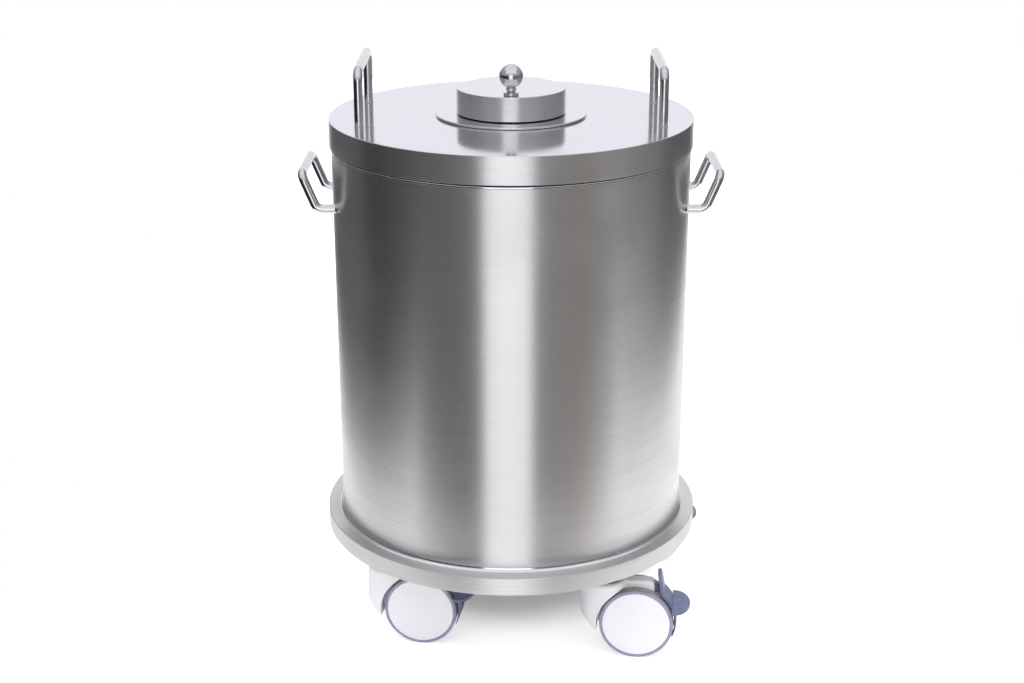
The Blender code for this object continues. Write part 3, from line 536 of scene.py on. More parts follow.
# %% [markdown]
# ## The drum
#
# The outer shell is sheet rolled into a cylinder and welded to a thick base disc. The weld round its
# foot is ground to a smooth fillet, which shines as a thin line. A flat ring closes the top of the
# double wall, and a rubber strip on it keeps the lid tight.

# %% Base plate with its fillet
FIT = 0.0003  # room between pieces that are fitted together
BEAD = 0.0055
BEAD_LAND = 0.0006
BEAD_STEPS = 8
PLATE_EDGE = 0.0009

drum_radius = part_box("outer_shell")[1][0]
shell_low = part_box("outer_shell")[0][2]
wall_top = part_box("outer_shell")[1][2]
base_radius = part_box("base_plate")[1][0]
base_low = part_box("base_plate")[0][2]
bead_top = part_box("base_plate")[1][2]
base_top = bead_top - BEAD
bead_inner = drum_radius + FIT
bead_middle = Vector((bead_inner + BEAD_LAND + BEAD, bead_top))
fillet = []
for step in range(BEAD_STEPS + 1):
    turn = math.pi * (1 + step / BEAD_STEPS / 2)
    fillet.append(bead_middle + BEAD * Vector((math.cos(turn), math.sin(turn))))
edge = rounded(
    [
        (fillet[-1].x, base_top, 0),
        (base_radius, base_top, PLATE_EDGE),
        (base_radius, base_low, PLATE_EDGE),
        (0, base_low, 0),
    ],
    closed=False,
)
plate_section = [Vector((0, base_top)), Vector((bead_inner, base_top)), Vector((bead_inner, bead_top))]
plate = spun(plate_section + fillet + edge[1:])
# The fillet takes the straight-ground steel, whose paler lavender colour is partly a painted reflection.
for face in plate.faces:
    face.material_index = 1 if face.calc_center_median().z > base_top + BEAD_LAND / 2 else 0
keep("visual_base_plate", plate, [steel_satin, steel_straight_painted_reflection], "drum", ["base_plate"])
print("base", round(base_radius * 2000), "mm across")

# %% Shell and liner
SHELL_WALL = 0.002
SHEET_EDGE = 0.0003  # a deburred edge of sheet
LINER_WALL = 0.0015
LINER_EDGE = 0.001
LINER_COVE = 0.006  # the liner's floor meets its wall in a round that is easy to clean


def tube(inner, outer, low, high, round_over):
    """A ring with its outer corners rounded."""
    corners = [(inner, high, 0), (outer, high, round_over), (outer, low, round_over), (inner, low, 0)]
    return spun(rounded(corners))


shell = tube(drum_radius - SHELL_WALL, drum_radius, shell_low, wall_top, SHEET_EDGE)
keep("visual_outer_shell", shell, [steel_round], "drum", ["outer_shell"])

liner_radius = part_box("inner_liner")[1][0]
liner_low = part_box("inner_liner")[0][2]
liner_inside = liner_radius - LINER_WALL
liner_corners = [
    (0, liner_low, 0),
    (liner_radius, liner_low, LINER_EDGE),
    (liner_radius, wall_top, 0),
    (liner_inside, wall_top, 0),
    (liner_inside, liner_low + LINER_WALL, LINER_COVE),
    (0, liner_low + LINER_WALL, 0),
]
liner = spun(rounded(liner_corners, closed=False))
steels = [steel_round, steel_straight_painted_reflection]
keep("visual_inner_liner", liner, steels, "drum", ["inner_liner"], flat_top=1)
print("drum", round(drum_radius * 2000), "mm across, liner", round(liner_inside * 2000), "mm inside")

# %% Rim and seal
RIM_ROUND = 0.0014
RIM_UNDER = 0.0002
EASED_EDGE = 0.0005
SEAL_WIDTH = 0.010
SEAL_SQUEEZE = 0.0012  # the lid's weight spreads the strip

rim_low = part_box("rim_ring")[0][2]
rim_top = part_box("rim_ring")[1][2]
rim_corners = [
    (liner_inside, rim_top, 0),
    (drum_radius, rim_top, RIM_ROUND),
    (drum_radius, rim_low, RIM_UNDER),
    (liner_inside, rim_low, 0),
]
rim = spun(rounded(rim_corners))
keep("visual_rim_ring", rim, [steel_straight_painted_reflection], "drum", ["rim_ring"])

seal_low, seal_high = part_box("lid_seal")
seal_inner = seal_high[0] - SEAL_WIDTH
seal = tube(seal_inner, seal_high[0] + SEAL_SQUEEZE, seal_low[2], seal_high[2], EASED_EDGE)
keep("visual_lid_seal", seal, [rubber], "drum", ["lid_seal"])
print("seal", round((seal_high[2] - seal_low[2]) * 1000, 1), "mm thick")

# %% [markdown]
# ## The lid and the port
#
# The lid's cover is a disc with a deep skirt welded on and ground flush. A plate with a lip closes it
# from below over the lead. In the middle a sleeve lines the port, and a thin collar round it carries
# the cap.

# %% Lid shell and underplate
LID_WALL = 0.002
LID_EDGE = 0.0009
LIP_WALL = 0.0015
LIP_PLAY = 0.003
LIP_EDGE = 0.0006

lid_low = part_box("lid_shell")[0][2]
lid_radius, lid_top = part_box("lid_shell")[1][0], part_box("lid_shell")[1][2]
port_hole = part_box("port_sleeve")[1][0] + FIT
skirt = lid_radius - LID_WALL
lid_corners = [
    (port_hole, lid_top, 0),
    (lid_radius, lid_top, LID_EDGE),
    (lid_radius, lid_low, EASED_EDGE),
    (skirt, lid_low, EASED_EDGE),
    (skirt, lid_top - LID_WALL, 0),
    (port_hole, lid_top - LID_WALL, 0),
]
lid = spun(rounded(lid_corners))
keep("visual_lid_shell", lid, steels, "lid", ["lid_shell"], flat_top=1)

under_low, under_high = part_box("lid_underplate")
lip_outer = liner_inside - LIP_PLAY
lip_inner = lip_outer - LIP_WALL
under_corners = [
    (port_hole, under_high[2], 0),
    (under_high[0], under_high[2], EASED_EDGE),
    (under_high[0], lid_low, EASED_EDGE),
    (lip_outer, lid_low, 0),
    (lip_outer, under_low[2], LIP_EDGE),
    (lip_inner, under_low[2], LIP_EDGE),
    (lip_inner, lid_low, 0),
    (port_hole, lid_low, 0),
]
under = spun(rounded(under_corners))
keep("visual_lid_underplate", under, steels, "lid", ["lid_underplate"], flat_top=1)
print("lid", round((lid_top - lid_low) * 1000, 1), "mm deep")

# %% Port collar and sleeve
COLLAR_EDGE = 0.001
SLEEVE_WALL = 0.0017

collar_low, collar_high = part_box("port_collar")
collar = tube(port_hole, collar_high[0], collar_low[2], collar_high[2], COLLAR_EDGE)
keep("visual_port_collar", collar, steels, "lid", ["port_collar"], flat_top=1)

sleeve_low, sleeve_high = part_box("port_sleeve")
sleeve = tube(sleeve_high[0] - SLEEVE_WALL, sleeve_high[0], sleeve_low[2], sleeve_high[2], EASED_EDGE)
keep("visual_port_sleeve", sleeve, [steel_round], "lid", ["port_sleeve"])
print("port", round(port_hole * 2000), "mm across")

# %% [markdown]
# ## The cap
#
# The cap is a smaller lid over the port. Its seal is the dark line above the collar. The ball knob is
# turned in one piece with its neck and flared foot, and is held by a stud from below.

# %% Cap shell, plug and seal
CAP_WALL = 0.002
CAP_EDGE = 0.0009
PLUG_PLAY = 0.004
PLUG_SHOULDER = 0.0004
PLUG_EDGE = 0.0015
CAP_SEAL_WIDTH = 0.006
CAP_SEAL_EDGE = 0.0003

cap_low, cap_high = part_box("cap_shell")
cap_radius = cap_high[0]
cap_corners = [
    (0, cap_high[2], 0),
    (cap_radius, cap_high[2], CAP_EDGE),
    (cap_radius, cap_low[2], EASED_EDGE),
    (cap_radius - CAP_WALL, cap_low[2], EASED_EDGE),
    (cap_radius - CAP_WALL, cap_high[2] - CAP_WALL, 0),
    (0, cap_high[2] - CAP_WALL, 0),
]
cap = spun(rounded(cap_corners, closed=False))
keep("visual_cap_shell", cap, steels, "port_cap", ["cap_shell"], flat_top=1)

plug_low, plug_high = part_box("cap_plug")
plug_radius = sleeve_high[0] - SLEEVE_WALL - PLUG_PLAY
plug_corners = [
    (0, plug_high[2], 0),
    (plug_high[0], plug_high[2], 0),
    (plug_high[0], cap_low[2], PLUG_SHOULDER),
    (plug_radius, cap_low[2], 0),
    (plug_radius, plug_low[2], PLUG_EDGE),
    (0, plug_low[2], 0),
]
plug = spun(rounded(plug_corners, closed=False))
keep("visual_cap_plug", plug, steels, "port_cap", ["cap_plug"], flat_top=1)

cap_seal_low, cap_seal_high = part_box("cap_seal")
cap_seal_inner = cap_seal_high[0] - CAP_SEAL_WIDTH
cap_seal = tube(cap_seal_inner, cap_seal_high[0], cap_seal_low[2], cap_seal_high[2], CAP_SEAL_EDGE)
keep("visual_cap_seal", cap_seal, [rubber], "port_cap", ["cap_seal"])
print("cap", round(cap_radius * 2000), "mm across")

# %% Ball knob
KNOB_RADIUS = 0.0155
KNOB_NECK = 0.0058
KNOB_BEAD = 0.0023
KNOB_BEAD_MIDDLE = Vector((0.0046, 0.0075))
KNOB_BEAD_TURN = math.radians(70)
KNOB_GROOVE = 0.0053
KNOB_GROOVE_ROUND = 0.0005
KNOB_FOOT = 0.010
KNOB_FOOT_TOP = 0.0046
KNOB_FOOT_HEIGHT = 0.0030
KNOB_FOOT_ROUND = 0.0008
KNOB_FOOT_EDGE = 0.0004
KNOB_BORE = 0.0043
KNOB_BORE_DEPTH = 0.0143
BALL_STEPS = 28
KNOB_SIDES = 64

knob_low, knob_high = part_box("ball_knob")
knob_height = knob_high[2] - knob_low[2]
knob_x = (knob_low[0] + knob_high[0]) / 2
knob_y = (knob_low[1] + knob_high[1]) / 2
knob_place = Matrix.Translation((knob_x, knob_y, knob_low[2]))
ball_middle = Vector((0, knob_height - KNOB_RADIUS))
ball_end = -math.acos(KNOB_NECK / KNOB_RADIUS)
ball = []
for step in range(BALL_STEPS + 1):
    turn = math.pi / 2 + (ball_end - math.pi / 2) * step / BALL_STEPS
    ball.append(ball_middle + KNOB_RADIUS * Vector((math.cos(turn), math.sin(turn))))
ball[0].x = 0
bead_turns = [KNOB_BEAD_TURN * (1 - 2 * step / BALL_STEPS) for step in range(BALL_STEPS + 1)]
knob_bead = [KNOB_BEAD_MIDDLE + KNOB_BEAD * Vector((math.cos(a), math.sin(a))) for a in bead_turns]
neck_corners = [
    (knob_bead[-1].x, knob_bead[-1].y, 0),
    (KNOB_GROOVE, KNOB_FOOT_TOP, KNOB_GROOVE_ROUND),
    (KNOB_FOOT, KNOB_FOOT_HEIGHT, KNOB_FOOT_ROUND),
    (KNOB_FOOT, 0, KNOB_FOOT_EDGE),
    (KNOB_BORE, 0, 0),
    (KNOB_BORE, KNOB_BORE_DEPTH, 0),
    (0, KNOB_BORE_DEPTH, 0),
]
knob = spun(ball + knob_bead[:-1] + rounded(neck_corners, closed=False), KNOB_SIDES, knob_place)
keep("visual_ball_knob", knob, [bar], "port_cap", ["ball_knob"])
print("knob", round(KNOB_RADIUS * 2000), "mm across")

# %% [markdown]
# ## Rod handles
#
# The handles are 12 mm round bar, bent cold round a former and welded at their feet. A curve with a
# round profile gives the rod, and each foot stands in a small ring of weld that is ground smooth.

# %% Helpers for rods and their welds
BEND_STEPS = 12
PROFILE_STEPS = 8
WELD_SINK = 0.0005
WELD_STEPS = 4
WELD_SIDES = 32


def bent_rod(corners, bend, radius):
    """A round rod along straight runs with arcs between them, as a bmesh."""
    path = [corners[0]]
    for before, corner, after in zip(corners, corners[1:], corners[2:]):
        back = (before - corner).normalized()
        ahead = (after - corner).normalized()
        half = back.angle(ahead) / 2
        middle = corner + (back + ahead).normalized() * bend / math.sin(half)
        start = corner + back * bend / math.tan(half) - middle
        axis = back.cross(-ahead)
        for step in range(BEND_STEPS + 1):
            turn = Matrix.Rotation((math.pi - 2 * half) * step / BEND_STEPS, 3, axis)
            path.append(middle + turn @ start)
    path.append(corners[-1])
    curve = bpy.data.curves.new("rod", "CURVE")
    curve.dimensions = "3D"
    curve.bevel_depth = radius
    curve.bevel_resolution = PROFILE_STEPS
    curve.use_fill_caps = True
    spline = curve.splines.new("POLY")
    spline.points.add(len(path) - 1)
    for point, place in zip(spline.points, path):
        point.co = (*place, 1.0)
    holder = bpy.data.objects.new("rod", curve)
    mesh = bpy.data.meshes.new_from_object(holder)
    shape = bmesh.new()
    shape.from_mesh(mesh)
    bpy.data.objects.remove(holder)
    bpy.data.meshes.remove(mesh)
    bmesh.ops.remove_doubles(shape, verts=shape.verts, dist=SAME_PLACE)
    bmesh.ops.recalc_face_normals(shape, faces=shape.faces)
    return shape


def weld_ring(place, radius, size):
    """A small fillet of weld round a rod's foot, hollow side outwards."""
    section = [Vector((radius - WELD_SINK, 0)), Vector((radius - WELD_SINK, size))]
    for step in range(WELD_STEPS + 1):
        turn = math.pi * (1 + step / WELD_STEPS / 2)
        section.append(Vector((radius + size + size * math.cos(turn), size + size * math.sin(turn))))
    return spun(section, WELD_SIDES, place)


def joined(first, *others):
    """One bmesh with the faces of several."""
    for other in others:
        mesh = bpy.data.meshes.new("joined")
        other.to_mesh(mesh)
        other.free()
        first.from_mesh(mesh)
        bpy.data.meshes.remove(mesh)
    return first


print("each bend has", BEND_STEPS, "steps")

# %% Lid handles
LID_BEND = 0.013
LID_WELD = 0.0006

for side in ("left", "right"):
    node = "lid_handle_" + side
    low, high = (Vector(corner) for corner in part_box(node))
    radius = (high.x - low.x) / 2
    x = (low.x + high.x) / 2
    y = high.y - radius
    top = high.z - radius
    feet = [Vector((x, -y, low.z)), Vector((x, y, low.z))]
    rod = bent_rod([feet[0], Vector((x, -y, top)), Vector((x, y, top)), feet[1]], LID_BEND, radius)
    welds = [weld_ring(Matrix.Translation(foot), radius, LID_WELD) for foot in feet]
    keep("visual_" + node, joined(rod, *welds), [bar], "lid", [node])
rod_radius = radius
print("rods", round(rod_radius * 2000, 1), "mm thick")

# %% Side handles
SIDE_BEND = 0.011
SIDE_WELD = 0.0016
SIDE_KNEE = 0.0165
SIDE_RISE = 0.046
SIDE_SINK = 0.003

for side, sign in (("left", -1), ("right", 1)):
    node = "side_handle_" + side
    low, high = (Vector(corner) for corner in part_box(node))
    y = high.y - rod_radius
    leg_z = low.z + rod_radius
    grip_z = leg_z + SIDE_RISE
    grip_x = max(abs(low.x), abs(high.x)) - rod_radius
    root_x = math.sqrt(drum_radius**2 - y**2) - SIDE_SINK
    near = [(root_x, -y, leg_z), (drum_radius + SIDE_KNEE, -y, leg_z), (grip_x, -y, grip_z)]
    far = [(px, -py, pz) for px, py, pz in reversed(near)]
    corners = [Vector((sign * px, py, pz)) for px, py, pz in near + far]
    rod = bent_rod(corners, SIDE_BEND, rod_radius)
    facing = Matrix.Rotation(sign * math.pi / 2, 4, "Y")
    at_wall = math.sqrt(drum_radius**2 - (y + rod_radius) ** 2) * sign
    welds = [
        weld_ring(Matrix.Translation((at_wall, foot_y, leg_z)) @ facing, rod_radius, SIDE_WELD)
        for foot_y in (-y, y)
    ]
    keep("visual_" + node, joined(rod, *welds), [bar], "drum", [node])
print("side handles reach", round(grip_x, 4), "m out")

# %% [markdown]
# ## Shapes cut from others
#
# Hinge parts are milled from bar and caster housings are moulded. Both are made here as they would be
# drawn: simple solids joined and cut, then every edge eased. For a moulding the result is rebuilt from
# small cubes and smoothed, which melts the edges into the soft radii of a mould.

# %% Helpers for joined and cut shapes
ARC_STEPS = 20
Z_TO_X = Matrix.Rotation(math.pi / 2, 4, "Y")
Z_TO_Y = Matrix.Rotation(-math.pi / 2, 4, "X")
X_TO_Y = Matrix.Rotation(math.pi / 2, 4, "Z")
PIN_SIDES = 48
EASE_STEPS = 3
SMOOTH_FACTOR = 0.5


def arc(centre, radius, start, end):
    """(x, z) points along an arc, both ends included."""
    angles = [start + (end - start) * step / ARC_STEPS for step in range(ARC_STEPS + 1)]
    return [(centre[0] + radius * math.cos(a), centre[1] + radius * math.sin(a)) for a in angles]


def slab(outline, width, place=None):
    """An outline of (x, z) points pushed out to a width, centred on y = 0."""
    shape = bmesh.new()
    face = shape.faces.new([shape.verts.new((x, -width / 2, z)) for x, z in outline])
    pushed = bmesh.ops.extrude_face_region(shape, geom=[face])["geom"]
    moved = [part for part in pushed if isinstance(part, bmesh.types.BMVert)]
    bmesh.ops.translate(shape, verts=moved, vec=(0, width, 0))
    if place:
        shape.transform(place)
    bmesh.ops.recalc_face_normals(shape, faces=shape.faces)
    return shape


def pin(radius, length, place, sides=PIN_SIDES):
    """A round bar centred on its place."""
    half = length / 2
    return spun([(0, half), (radius, half), (radius, -half), (0, -half)], sides, place)


def hold(shape):
    """A scene object for a bmesh, to hang modifiers on."""
    mesh = bpy.data.meshes.new("working_shape")
    shape.to_mesh(mesh)
    shape.free()
    holder = bpy.data.objects.new("working_shape", mesh)
    bpy.context.scene.collection.objects.link(holder)
    return holder


def carved(body, steps, ease=0.0, voxel=0.0, smoothing=0):
    """A bmesh after Boolean steps, with eased edges or rebuilt from voxels and smoothed."""
    holder = hold(body)
    tools = []
    for operation, shape in steps:
        tool = hold(shape)
        tools.append(tool)
        cut = holder.modifiers.new(operation, "BOOLEAN")
        cut.operation = operation
        cut.solver = "EXACT"
        cut.object = tool
    if ease:
        bevel = holder.modifiers.new("ease", "BEVEL")
        bevel.width = ease
        bevel.segments = EASE_STEPS
        bevel.angle_limit = SHARP
    if voxel:
        rebuilt = holder.modifiers.new("voxels", "REMESH")
        rebuilt.mode = "VOXEL"
        rebuilt.voxel_size = voxel
        soft = holder.modifiers.new("soft", "SMOOTH")
        soft.factor = SMOOTH_FACTOR
        soft.iterations = smoothing
    graph = bpy.context.evaluated_depsgraph_get()
    mesh = bpy.data.meshes.new_from_object(holder.evaluated_get(graph))
    result = bmesh.new()
    result.from_mesh(mesh)
    for helper in [holder, *tools]:
        leftover = helper.data
        bpy.data.objects.remove(helper)
        bpy.data.meshes.remove(leftover)
    bpy.data.meshes.remove(mesh)
    bmesh.ops.recalc_face_normals(result, faces=result.faces)
    return result


print("arcs have", ARC_STEPS, "steps")

# %% [markdown]
# ## The cap's hinge
#
# Behind the cap two cheeks on a foot carry a pin, and an eye welded to the cap's side turns on it. The
# photograph doesn't show it, but a knob at the cap's front edge is there to tip the cap back.

# %% Hinge bracket, strap and pin
HINGE_EYE = 0.0065
HINGE_FOOT = 0.003
HINGE_PLAY = 0.0005
HINGE_EASE = 0.0005
PIN_ROOM = 0.0003
PIN_EDGE = 0.0008
THROUGH = 0.1  # longer than any bore

bracket_low, bracket_high = (Vector(corner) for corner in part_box("hinge_bracket"))
strap_low, strap_high = (Vector(corner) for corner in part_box("hinge_strap"))
pin_low, pin_high = (Vector(corner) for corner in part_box("hinge_pin"))
hinge = next(Vector(j["pos_m"]) for j in frame["joints"] if j["name"] == "cap_hinge")
pin_radius = (pin_high.z - pin_low.z) / 2
strap_width = strap_high.x - strap_low.x
bracket_width = bracket_high.x - bracket_low.x
lying = Matrix.Translation(hinge) @ Z_TO_X
foot_top = bracket_low.z + HINGE_FOOT
cheek_outline = [
    (bracket_low.y, bracket_low.z),
    (bracket_high.y, bracket_low.z),
    (bracket_high.y, foot_top),
    *arc((hinge.y, hinge.z), HINGE_EYE, 0, math.pi),
    (bracket_low.y, foot_top),
]
at_hinge = Matrix.Translation((hinge.x, 0, 0)) @ X_TO_Y
gap_width = strap_width + 2 * HINGE_PLAY
gap = [(0, foot_top), (2 * hinge.y, foot_top), (2 * hinge.y, 2 * hinge.z), (0, 2 * hinge.z)]
bracket = carved(
    slab(cheek_outline, bracket_width, at_hinge),
    [
        ("DIFFERENCE", slab(gap, gap_width, at_hinge)),
        ("DIFFERENCE", pin(pin_radius + PIN_ROOM, THROUGH, lying)),
    ],
    ease=HINGE_EASE,
)
keep("visual_hinge_bracket", bracket, [bar], "lid", ["hinge_bracket"])

eye = arc((hinge.y, hinge.z), HINGE_EYE, -math.pi / 2, math.pi / 2)
strap_outline = [(0, hinge.z - HINGE_EYE), *eye, (0, hinge.z + HINGE_EYE)]
cap_side = spun([(0, 1), (cap_radius + PIN_ROOM, 1), (cap_radius + PIN_ROOM, 0), (0, 0)])
strap = carved(
    slab(strap_outline, strap_width, at_hinge),
    [("DIFFERENCE", cap_side), ("DIFFERENCE", pin(pin_radius + PIN_ROOM, THROUGH, lying))],
    ease=HINGE_EASE,
)
keep("visual_hinge_strap", strap, [bar], "port_cap", ["hinge_strap"])

half_pin = (pin_high.x - pin_low.x) / 2
pin_corners = [
    (0, half_pin, 0),
    (pin_radius, half_pin, PIN_EDGE),
    (pin_radius, -half_pin, PIN_EDGE),
    (0, -half_pin, 0),
]
hinge_pin = spun(rounded(pin_corners, closed=False), PIN_SIDES, lying)
keep("visual_hinge_pin", hinge_pin, [bar], "lid", ["hinge_pin"])
print("hinge axis", tuple(round(v, 4) for v in hinge))

# %% [markdown]
# ## The casters
#
# Each caster is moulded nylon. A turret turns on a kingpin under the base. Its front slants back to a
# nose, and its rear is cut away in an arch over the wheels with a thin bead round it. One caster is
# shaped at the origin, with the kingpin on the Z axis, and later copied to the four corners.

# %% Turret, nose and arch
TRAIL = 0.045  # from the kingpin back to the axle
WHEEL_RADIUS = 0.050
PIVOT_REACH = 0.014
PIVOT_RISE = 0.045
TURRET_RADIUS = 0.032
TURRET_ROUND = 0.004
NOSE_SHOULDER = 0.0099
NOSE_DROP = 0.0096
NOSE_SLANT = 0.0225
ARCH_GAP = 0.004
ARCH_BEAD = 0.0022
BEAD_RISE = 0.0008
WHEEL_SIDES = 96

turret_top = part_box("front_left_housing")[1][2]
axle = Vector((TRAIL, 0, WHEEL_RADIUS))
pivot = axle + Vector((PIVOT_REACH, 0, PIVOT_RISE))
on_axle = Matrix.Translation(axle) @ Z_TO_Y
on_pivot = Matrix.Translation(pivot) @ Z_TO_Y
nose_low = axle.z - NOSE_DROP


def turret_shape(grow):
    """The turret's cylinder, grown by a little for the arch's bead."""
    radius = TURRET_RADIUS + grow
    side = [(radius, turret_top, TURRET_ROUND), (radius, nose_low, 0)]
    return spun(rounded([(0, turret_top, 0), *side, (0, nose_low, 0)], closed=False), WHEEL_SIDES)


shoulder = Vector((-TURRET_RADIUS - BEAD_RISE, axle.z + NOSE_SHOULDER))
tip = Vector((NOSE_SLANT - TURRET_RADIUS, nose_low))
past = (tip - shoulder) / 2
slant = [tuple(shoulder - past), (shoulder.x - past.x, (tip + past).y), tuple(tip + past)]
arch_radius = WHEEL_RADIUS + ARCH_GAP
bead_radius = arch_radius + ARCH_BEAD
ring_corners = [
    (arch_radius, THROUGH),
    (bead_radius, THROUGH),
    (bead_radius, -THROUGH),
    (arch_radius, -THROUGH),
]
bead_shape = carved(turret_shape(BEAD_RISE), [("INTERSECT", spun(ring_corners, WHEEL_SIDES, on_axle))])
print("arch radius", round(arch_radius * 1000, 1), "mm")

# %% [markdown]
# ### The hood
#
# Between the two wheels a hood reaches back from the turret. It carries the axle in a round boss, and
# at its end a slot takes the lug of the lock pedal.

# %% Hood, slot and the whole housing
HOOD_WIDTH = 0.019
HOOD_EDGE = 0.005
HOOD_ROOT = 0.003
HOOD_FRONT_DROP = 0.001
HOOD_REACH = 0.024
HOOD_RISE = 0.057
HOOD_END = 0.021
HOOD_ROUND = 0.007
BOSS_RADIUS = 0.012
AXLE_RADIUS = 0.005
KINGPIN_RADIUS = 0.006
KINGPIN_LENGTH = 0.018
SLOT_FRONT = 0.008  # from the pivot to the slot's sides
SLOT_LOW = 0.0125
SLOT_HIGH = 0.0075
SLOT_PAST = 0.01
SLOT_WIDTH = 0.0095
PIVOT_RADIUS = 0.0025
PIVOT_BORE = 0.0165
BORE_ROOM = 0.0012
VOXEL = 0.0008
MOULD_SMOOTHING = 6

root_radius = arch_radius + HOOD_ROOT
root_x = KINGPIN_RADIUS + HOOD_ROOT
root_high = math.pi - math.acos((axle.x - root_x) / root_radius)
root_low = math.pi + math.asin((NOSE_DROP - HOOD_ROOT) / root_radius)
hood_end = axle.x + HOOD_REACH
hood_top = axle.z + HOOD_RISE
hood_corners = [
    (root_x, turret_top - HOOD_FRONT_DROP, 0),
    (hood_end, hood_top, HOOD_ROUND),
    (hood_end, hood_top - HOOD_END, HOOD_ROUND),
    (axle.x + BOSS_RADIUS, axle.z, 0),
]
hood_outline = [tuple(point) for point in rounded(hood_corners, closed=False)[:-1]]
hood_outline += arc((axle.x, axle.z), BOSS_RADIUS, 0, -math.pi / 2)
hood_outline += arc((axle.x, axle.z), root_radius, root_low, root_high)
slot_front = pivot.x - SLOT_FRONT
slot_end = hood_end + SLOT_PAST
slot = [
    (slot_front, pivot.z - SLOT_LOW),
    (slot_end, pivot.z - SLOT_LOW),
    (slot_end, pivot.z + SLOT_HIGH),
    (slot_front, pivot.z + SLOT_HIGH),
]
kingpin_place = Matrix.Translation((0, 0, turret_top))
housing = carved(
    turret_shape(0),
    [
        ("DIFFERENCE", pin(arch_radius, 2 * THROUGH, on_axle, WHEEL_SIDES)),
        ("UNION", bead_shape),
        ("DIFFERENCE", slab(slant, 2 * THROUGH)),
        ("UNION", carved(slab(hood_outline, HOOD_WIDTH), [], ease=HOOD_EDGE)),
        ("DIFFERENCE", slab(slot, SLOT_WIDTH)),
        ("DIFFERENCE", pin(PIVOT_RADIUS + BORE_ROOM, PIVOT_BORE, on_pivot)),
        ("DIFFERENCE", pin(AXLE_RADIUS + BORE_ROOM, 2 * THROUGH, on_axle)),
        ("DIFFERENCE", pin(KINGPIN_RADIUS + BORE_ROOM, 2 * (KINGPIN_LENGTH + BORE_ROOM), kingpin_place)),
    ],
    voxel=VOXEL,
    smoothing=MOULD_SMOOTHING,
)
print("housing faces", len(housing.faces))

# %% [markdown]
# ### The lock pedal
#
# A blue-grey pedal behind the wheels locks them. It is one moulding: a guard that follows the wheels
# and ends in two prongs, a wide tongue that is trodden down to lock, a fin above it that is pushed to
# release, and a lug that turns in the hood's slot.

# %% Guard, tongue and fin
PEDAL_GAP = 0.0018
PEDAL_THICK = 0.0045
GUARD_THICK = 0.0037
PEDAL_WIDTH = 0.038
PRONG_LOW = math.radians(-22)
PRONG_START = math.radians(20)
PRONG_TIP = 0.0012
FIN_LOW = math.radians(52)
FIN_LENGTH = 0.0285
FIN_LEAN = math.radians(10)
FIN_WIDTH = 0.034
TONGUE_RISE = 0.025
TONGUE_REACH = 0.072
TONGUE_WIDTH = 0.066
TONGUE_ROUND = 0.021

guard_inner = WHEEL_RADIUS + PEDAL_GAP
guard_outer = guard_inner + GUARD_THICK
middle = (axle.x, axle.z)
guard_outline = arc(middle, guard_inner, PRONG_LOW, FIN_LOW)
for step in range(ARC_STEPS + 1):
    angle = FIN_LOW + (PRONG_LOW - FIN_LOW) * step / ARC_STEPS
    thinned = max(0.0, PRONG_START - angle) / (PRONG_START - PRONG_LOW)
    radius_here = guard_outer - (GUARD_THICK - PRONG_TIP) * thinned
    guard_outline += arc(middle, radius_here, angle, angle)[:1]
guard = slab(guard_outline, PEDAL_WIDTH)
tongue_z = axle.z + TONGUE_RISE - PEDAL_THICK / 2
half = TONGUE_WIDTH / 2
oval = TONGUE_REACH - TONGUE_ROUND
round_end = [math.pi * (step / ARC_STEPS - 0.5) for step in range(ARC_STEPS + 1)]
tongue_root = math.sqrt((guard_inner + GUARD_THICK / 3) ** 2 - (tongue_z - axle.z) ** 2)
tongue_plan = [(oval + TONGUE_ROUND * math.cos(a), half * math.sin(a)) for a in round_end]
at_tongue = Matrix.Translation((axle.x, 0, tongue_z)) @ Matrix.Rotation(math.pi / 2, 4, "X")
tongue = slab([(tongue_root, -half), *tongue_plan, (tongue_root, half)], PEDAL_THICK, at_tongue)
fin_root = arc(middle, guard_outer, FIN_LOW, FIN_LOW)[0]
fin_tip = arc((0, FIN_LENGTH - FIN_WIDTH / 2), FIN_WIDTH / 2, 0, math.pi)
fin_plan = [(-FIN_WIDTH / 2, -GUARD_THICK), (FIN_WIDTH / 2, -GUARD_THICK), *fin_tip]
at_fin = Matrix.Translation((fin_root[0], 0, fin_root[1])) @ Matrix.Rotation(-FIN_LEAN, 4, "Y") @ X_TO_Y
fin = slab(fin_plan, PEDAL_THICK, at_fin)
print("guard", round(guard_inner * 1000, 1), "mm from the axle")

# %% Lug and the whole pedal
LUG_RADIUS = 0.006
LUG_WIDTH = 0.0075
LUG_ARM = 0.008
PIVOT_LENGTH = 0.014
PRONG_GAP = 0.014
GAP_START = 0.03
PEDAL_VOXEL = 0.0006
PEDAL_SMOOTHING = 4

to_root = Vector((fin_root[0] - pivot.x, fin_root[1] - pivot.z))
turn = math.atan2(to_root.y, to_root.x)
lug_eye = arc((pivot.x, pivot.z), LUG_RADIUS, turn + math.pi / 2, turn + math.pi * 3 / 2)
arm_side = Vector((-to_root.y, to_root.x)).normalized() * LUG_ARM / 2
arm_end = Vector(fin_root)
lug = slab([*lug_eye, tuple(arm_end - arm_side), tuple(arm_end + arm_side)], LUG_WIDTH)
gap_near = axle.x + GAP_START
gap_far = axle.x + THROUGH
gap_top = tongue_z - PEDAL_THICK
gap_outline = [(gap_near, 0), (gap_far, 0), (gap_far, gap_top), (gap_near, gap_top)]
pedal = carved(
    guard,
    [
        ("DIFFERENCE", slab(gap_outline, PRONG_GAP)),
        ("UNION", tongue),
        ("UNION", fin),
        ("UNION", lug),
        ("UNION", pin(PIVOT_RADIUS, PIVOT_LENGTH, on_pivot)),
    ],
    voxel=PEDAL_VOXEL,
    smoothing=PEDAL_SMOOTHING,
)
print("pedal faces", len(pedal.faces))

